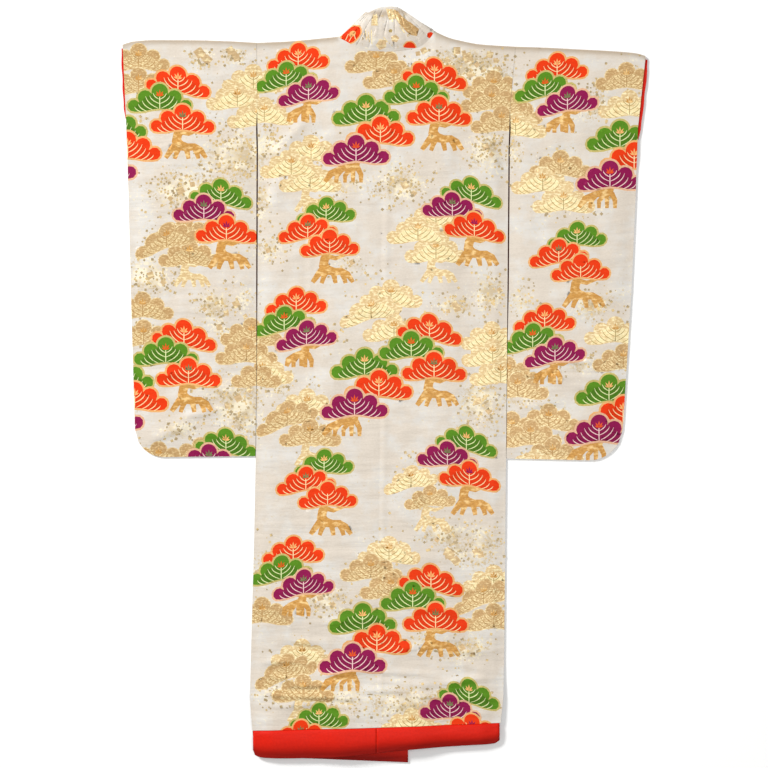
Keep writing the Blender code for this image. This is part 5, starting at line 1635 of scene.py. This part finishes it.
def collar_seam_point(part, at):
    """The collar's seam edge: along the fronts, round the shoulder folds and the neck."""
    side = -1 if part.startswith("left") else 1
    level = COLLAR_LEFT_MID if side < 0 else COLLAR_RIGHT_MID
    if part.endswith("front"):
        return collar_seam_x(side, at) - side * COLLAR_SEAM, at, level
    if part.endswith("fold"):
        start, radius, under = body_fold(side, NECK_X[side])
        turn = math.radians(at)
        y = start + radius * math.sin(turn) + COLLAR_SEAM / 2
        z = level if at == 180 else under + radius * (1 + math.cos(turn))
        return NECK_X[side] - side * COLLAR_FOLD_SEAM, y, z
    rise = top_edge(at + COLLAR_SLOPE_STEP) - top_edge(at - COLLAR_SLOPE_STEP)
    slope = rise / (2 * COLLAR_SLOPE_STEP)
    length = math.hypot(1.0, slope)
    return at - COLLAR_SEAM * slope / length, top_edge(at) + COLLAR_SEAM / length, NECK_TOP_MID


def along_ribs(points, at):
    """Points between the table's, on a smooth curve through them all."""
    last = len(points) - 1
    i = np.clip(at.astype(int), 0, last - 1)
    t = (at - i)[:, None]
    p = [points[np.clip(i + k, 0, last)] for k in (-1, 0, 1, 2)]
    return 0.5 * (2 * p[1] + (p[2] - p[0]) * t + (2 * p[0] - 5 * p[1] + 4 * p[2] - p[3]) * t**2
                  + (3 * p[1] - p[0] - 3 * p[2] + p[3]) * t**3)


rib_seams = np.array([collar_seam_point(*row[:2]) for row in COLLAR_RIBS], float)
rib_frees = np.array([row[2:5] for row in COLLAR_RIBS])
rib_offs = np.array([row[5:8] for row in COLLAR_RIBS])
rib_count = len(COLLAR_RIBS)
rib_middles = (rib_seams + rib_frees) / 2
rib_steps = np.linalg.norm(np.diff(rib_middles, axis=0), axis=1)
rib_lengths = np.concatenate([[0], np.cumsum(rib_steps)])
rib_widths = np.linalg.norm(rib_frees - rib_seams, axis=1)
# Pleats where the band is eased round the neck: x at the top and at the seam, width, height
COLLAR_PLEATS = (
    (-0.0420, -0.0620, 0.0042, 0.0011), (-0.0270, -0.0430, 0.0036, 0.0013),
    (-0.0160, -0.0250, 0.0040, 0.0015), (-0.0060, -0.0080, 0.0034, 0.0012),
    (0.0040, 0.0080, 0.0038, 0.0014), (0.0160, 0.0270, 0.0042, 0.0013),
    (0.0260, 0.0480, 0.0038, 0.0011), (0.0340, 0.0720, 0.0050, 0.0010),
)


def bend_collar(length, across):
    at = np.interp(length, rib_lengths, np.arange(rib_count))
    at = np.minimum(at, rib_count - LAST_RIB)
    share = np.clip(across / np.interp(length, rib_lengths, rib_widths), 0, 1)
    seam = along_ribs(rib_seams, at)
    free = along_ribs(rib_frees, at)
    lowest = np.where(at < (rib_count - 1) / 2, COLLAR_LEFT_MID, COLLAR_RIGHT_MID)
    for edge in (seam, free):
        edge[:, 2] = np.maximum(edge[:, 2], lowest)
    bulge = (4 * share * (1 - share))[:, None] * along_ribs(rib_offs, at)
    point = mix(seam, free, share[:, None]) + bulge
    standing = between(at, *STANDING_RIBS, STANDING_BLEND) * 4 * share * (1 - share)
    for top_x, seam_place, width, height in COLLAR_PLEATS:
        off = (point[:, 0] - mix(seam_place, top_x, share)) / width
        point[:, 2] += standing * height * np.exp(-off**2)
    return point[:, 0], point[:, 1], point[:, 2]


# Where each point of the standing part lies in the flat band
flat_grid = np.stack([part.ravel() for part in np.meshgrid(
    np.linspace(*rib_lengths[[*SEEN_RIBS]], SEEN_GRID[0]),
    np.linspace(0, 1, SEEN_GRID[1]))], axis=1)
flat_grid[:, 1] *= np.interp(flat_grid[:, 0], rib_lengths, rib_widths)
flat_seen = np.stack(bend_collar(*flat_grid.T), axis=1)


def on_collar(points):
    """Points of the photo, in pixels, as points of the flat band that lies there."""
    found = []
    for across, down in points:
        x, y = from_photo(across, down)
        off = np.hypot(flat_seen[:, 0] - x, flat_seen[:, 1] - y)
        off = off - HIGHER_WINS * flat_seen[:, 2]
        nearest = flat_grid[np.argmin(off)]
        if not found or np.abs(nearest - found[-1]).max() > CDT_CLOSEST:
            found.append(nearest)
    return np.array(found)


def oval(across, down, half_length, half_width, turn, start=0, end=360, count=18):
    """An oval, or a part of one, in pixels of the photo."""
    c, s = math.cos(math.radians(turn)), -math.sin(math.radians(turn))
    line = []
    for angle in np.radians(np.linspace(start, end, count, endpoint=end - start < 360)):
        x, y = half_length * math.cos(angle), -half_width * math.sin(angle)
        line.append((across + x * c - y * s, down + x * s + y * c))
    return line


def streak(top, low, width):
    """A thin line of gold between two points of the photo."""
    (x0, y0), (x1, y1) = top, low
    half = width / 2
    return [(x0 - half, y0), (x0 + half, y0), (x1 + half, y1), (x1 - half, y1)]


# What the weaving shows on the standing collar, the lowest first
COLLAR_MOTIFS = (
    (oval(351, 34.5, 12.6, 8.2, 36), "edge"),
    (oval(351, 34.5, 11.0, 6.8, 36), "orange"),
    (oval(352.5, 33.5, 3.6, 2.6, 36), "peach"),
    (streak((345.5, 39.5), (348.5, 33.5), 0.9), "cream"),
    (streak((349.0, 41.0), (351.5, 36.5), 0.9), "cream"),
    (streak((355.5, 39.0), (354.5, 34.5), 0.9), "cream"),
    (((394, 9), (398, 11), (410, 22), (419, 29), (417, 36), (411, 35), (402, 27), (396, 19)),
     "tan"),
    (((386, 8), (394, 9), (396, 19), (389, 20)), "sand"),
    (((373, 14), (378, 16), (377, 26), (371, 26)), "sand"),
    (oval(381.5, 44, 6.2, 5.2, 40, 0, 360, 5), "leaf"),
    (oval(395, 38.5, 4.4, 3.8, 10, 0, 360, 5), "leaf"),
    (oval(390.5, 31, 2.2, 2.0, 20, 0, 360, 5), "grey_rib"),
    (streak((376.3, 14), (377.5, 26), 1.2), "pale_gold"),
    (streak((391.5, 11), (392.5, 22), 1.3), "pale_gold"),
    (streak((396.0, 14), (399.5, 23), 1.3), "pale_gold"),
    (streak((400.0, 26), (404.5, 33), 1.8), "pale_gold"),
    (streak((383.5, 37), (387.5, 42), 1.4), "pale_gold"),
    (streak((368.5, 32), (369.5, 42), 0.9), "sand"),
    (streak((371.5, 30), (372.0, 44), 0.9), "pale_gold"),
    (streak((365.5, 30), (366.5, 40), 0.8), "sand"),
    (oval(409.5, 48.5, 7.4, 8.0, -8, 10, 170), "edge"),
    (oval(409.5, 48.5, 6.2, 6.8, -8, 5, 175), "orange"),
    (oval(430.5, 34.5, 3.4, 3.0, 0), "orange"),
)
collar_shapes = [(on_collar(line), silk) for line, silk in COLLAR_MOTIFS]
COLLAR_GOLD = (("tan", 372, 25), ("tan", 388, 20), ("tan", 372, 36), ("tan", 386, 40))

collar_line = [(s, 0.0) for s in rib_lengths]
collar_line += [*zip(rib_lengths[::-1], rib_widths[::-1])]
collar_length, collar_width = float(rib_lengths[-1]), float(rib_widths.max())
neck_end = rib_lengths[STANDING_RIBS[1]]
first, last = FINE_RIBS
collar_grid = np.concatenate([
    grid_points((0, 0), (collar_length, COLLAR_GRID[0]), COLLAR_GRID[1]),
    grid_points((rib_lengths[first], 0), (rib_lengths[last], COLLAR_FINE_GRID[0]),
                COLLAR_FINE_GRID[1]),
])
fine_ribs = zip(rib_lengths[first:last + 1], rib_widths[first:last + 1])
collar_rows = [np.array([(s, 0.0), (s, w)]) for s, w in fine_ribs]
collar_trees = [("D", 0.25, 0.10), ("A", 0.55, 0.09), ("tan", 0.70, 0.09),
                ("B", neck_end + 0.34, 0.10), ("E", neck_end + 0.66, 0.10)]
make_panel("collar", collar_line, COLLAR_EDGE_STEP, collar_grid, collar_rows,
           woven(collar_trees, plain=True) + collar_shapes, bend_collar, wall=COLLAR_WALL,
           inner="ground", gold=COLLAR_GOLD, fold=lambda length: COLLAR_SHADE_AT,
           size=(collar_length, collar_width))

# %% [markdown]
# ## Red lining at the cuffs
# The lining is cut a little larger than the brocade, so that a narrow red edge shows past
# each cuff. It is a strip of thin silk that stands between the sleeve's two layers.

# %% Cuff linings
LINING_MID = 0.0036
LINING_INSIDE = 0.018
LINING_SHOWS = {-1: 0.0050, 1: 0.0085}
LINING_WALL = 0.0020
LINING_BELOW_TOP = 0.0055
LINING_ABOVE_CUFF = 0.0120
LINING_GRID = 0.004
# How much of the edge shows: share of the height, share of the reach
LINING_EDGE = ((0, 0.25), (0.14, 0.90), (0.30, 1.0), (0.86, 1.0), (1, 0.70))
LINING_WAVE, LINING_WAVE_TURNS, LINING_WAVE_RISE = 0.0006, 19, 0.2
LINING_RIPPLE, LINING_RIPPLE_TURNS = 0.0002, 31


def bend_lining(sleeve, high, low, shows, across, y):
    share = across / (LINING_INSIDE + shows)
    up = (y - low) / (high - low)
    reach = shows * read_rows(LINING_EDGE, up)
    reach = reach + LINING_WAVE * np.sin(up * LINING_WAVE_TURNS) * soft_step(up / LINING_WAVE_RISE)
    x = sleeve_outer(sleeve, y) + sleeve["side"] * mix(-LINING_INSIDE, reach, share)
    return x, y, LINING_MID + LINING_RIPPLE * share * np.sin(up * LINING_RIPPLE_TURNS)


for side, name in ((-1, "cuff_lining_left"), (1, "cuff_lining_right")):
    sleeve = SLEEVES[side]
    shows = LINING_SHOWS[side]
    high = sleeve["outer"][-1][0] - LINING_BELOW_TOP
    low = high - sleeve["cuff"] + LINING_ABOVE_CUFF
    width = LINING_INSIDE + shows
    line = [(0, low), (width, low), (width, high), (0, high)]
    make_panel(name, line, LINING_GRID, grid_points((0, low), (width, high), LINING_GRID), [], [],
               partial(bend_lining, sleeve, high, low, shows),
               wall=LINING_WALL, ground="lining", inner="lining", size=(width, high - low))

# %% [markdown]
# ## Padded hem
# The hem of a bridal over-kimono is a roll of red silk filled with wadding, as thick as a
# finger. Each roll is lofted through soft rounded sections, with small puckers where the
# silk is drawn over the wadding, and it is closed at both ends.

# %% Padded hem rolls
ROLL_SIDES = 28
ROLL_STATION = 0.005
ROLL_SQUARENESS = 0.75
ROLL_ROUND_END = 0.012
ROLL_END_SHARE = 0.6
LOWER_SLOPE = 0.45
PUCKER_DEPTH = 0.03
# In radians a metre: the puckers, how they drift, and how their strength changes
PUCKER_WAVES = (410, 97, 61)
PUCKER_DRIFT = 1.3
PUCKER_PHASE = 0.8
AROUND_STEP = 0.004
BACK_ROLL_LINE = (
    (-0.3280, -0.9100), (-0.3220, -0.9240), (-0.3050, -0.9292), (-0.2500, -0.9305),
    (-0.1450, -0.9280), (0.0588, -0.9080), (0.2000, -0.8985), (0.2740, -0.8940),
    (0.2870, -0.8860),
)
FRONT_ROLL_LINES = {
    -1: ((-0.3240, -0.9140), (-0.3000, -0.9270), (-0.1400, -0.9345), (0.0588, -0.9425)),
    1: ((-0.0940, -0.8900), (0.1000, -0.8885), (0.2700, -0.8860), (0.2835, -0.8790)),
}


def section(hem, line, mid, thick, x):
    """A roll's section at x: inner and outer edge, height of its middle, thickness."""
    return hem_line(hem, x) - SEAM, float(gentle_curve(line, x)), float(mid(x)), float(thick(x))


def pucker(x, turn):
    """How much small folds across the roll flatten it, most on its upper side."""
    fine, drift, strength = (x * waves for waves in PUCKER_WAVES)
    wave = math.sin(fine + PUCKER_DRIFT * math.sin(drift)) * math.sin(strength + PUCKER_PHASE)
    return PUCKER_DEPTH * abs(wave) * max(0.0, math.sin(turn)) ** 0.5


def squarish(value):
    """A cosine or sine pushed outwards, which makes an oval into a rounded box."""
    return math.copysign(abs(value) ** ROLL_SQUARENESS, value)


def loft_roll(node, low, high, rounds_low, section_at):
    """A padded roll, rounded at one end and flat where it meets the next piece."""
    name = "padded_" + node
    count = round((high - low) / ROLL_STATION)
    verts = []
    for x in np.linspace(low, high, count + 1):
        inner_y, outer_y, mid, thick = section_at(float(x))
        end = x - low if rounds_low else high - x
        bend = math.sqrt(max(0.0, 1 - (1 - min(end / ROLL_ROUND_END, 1)) ** 2))
        thick *= mix(ROLL_END_SHARE, 1.0, bend)
        for k in range(ROLL_SIDES):
            turn = 2 * math.pi * (k + 0.5) / ROLL_SIDES
            c, s = math.cos(turn), math.sin(turn)
            y = (inner_y + outer_y) / 2 + (inner_y - outer_y) / 2 * squarish(c)
            drop = LOWER_SLOPE * thick * max(0.0, -c) * max(0.0, s)
            rise = thick / 2 * squarish(s) * (1 - pucker(float(x), turn))
            verts.append((x, y, mid + rise - drop))
    faces = []
    for i in range(count):
        for k in range(ROLL_SIDES):
            a, b = i * ROLL_SIDES + k, i * ROLL_SIDES + (k + 1) % ROLL_SIDES
            faces.append((a, b, b + ROLL_SIDES, a + ROLL_SIDES))
    last = count * ROLL_SIDES
    faces += [tuple(range(ROLL_SIDES - 1, -1, -1)), tuple(range(last, last + ROLL_SIDES))]
    mesh = bpy.data.meshes.new(name)
    mesh.from_pydata((np.array(verts) + TO_MIDDLE).tolist(), [], faces)
    mesh.materials.append(SILKS["padded"])
    layer = mesh.uv_layers.new(name="cloth")
    for loop in mesh.loops:
        ring = loop.vertex_index % ROLL_SIDES
        layer.data[loop.index].uv = (mesh.vertices[loop.vertex_index].co.x, ring * AROUND_STEP)
    mesh.shade_smooth()
    piece = add_object(name, mesh)
    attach(piece, "root")
    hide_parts(node)
    print(name, "faces:", len(faces))


hem_centre = float(seam_x(HEM_END_Y))
back_section = partial(section, BACK_HEM, BACK_ROLL_LINE, back_roll_mid, back_roll)
left_section, right_section = (
    partial(section, FRONT_HEM[side], FRONT_ROLL_LINES[side], partial(front_roll_mid, side),
            partial(front_roll, side)) for side in (-1, 1))
loft_roll("hem_roll_back_left", BACK_ROLL_X[0], hem_centre - CENTRE_SEAM / 2, True, back_section)
loft_roll("hem_roll_back_right", hem_centre + CENTRE_SEAM / 2, BACK_ROLL_X[1], False, back_section)
loft_roll("hem_roll_front_left", FRONT_ROLL_LEFT_X, EDGE_X[-1], True, left_section)
loft_roll("hem_roll_front_right", EDGE_X[1], FRONT_ROLL_RIGHT_X, False, right_section)

# %% [markdown]
# ## Cut sizes
# Every panel is a sheet of cloth that lies flat. The size of the straight length that it was cut
# from, and the area that is left after cutting, are printed.

# %% Cut sizes
for name, (piece, area, size) in panels.items():
    width, length = sorted(float(value) for value in size)
    print(name, "cut:", round(width, 3), "x", round(length, 3), "area:", round(area, 4))

# %% Sizes and finish
low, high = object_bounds()
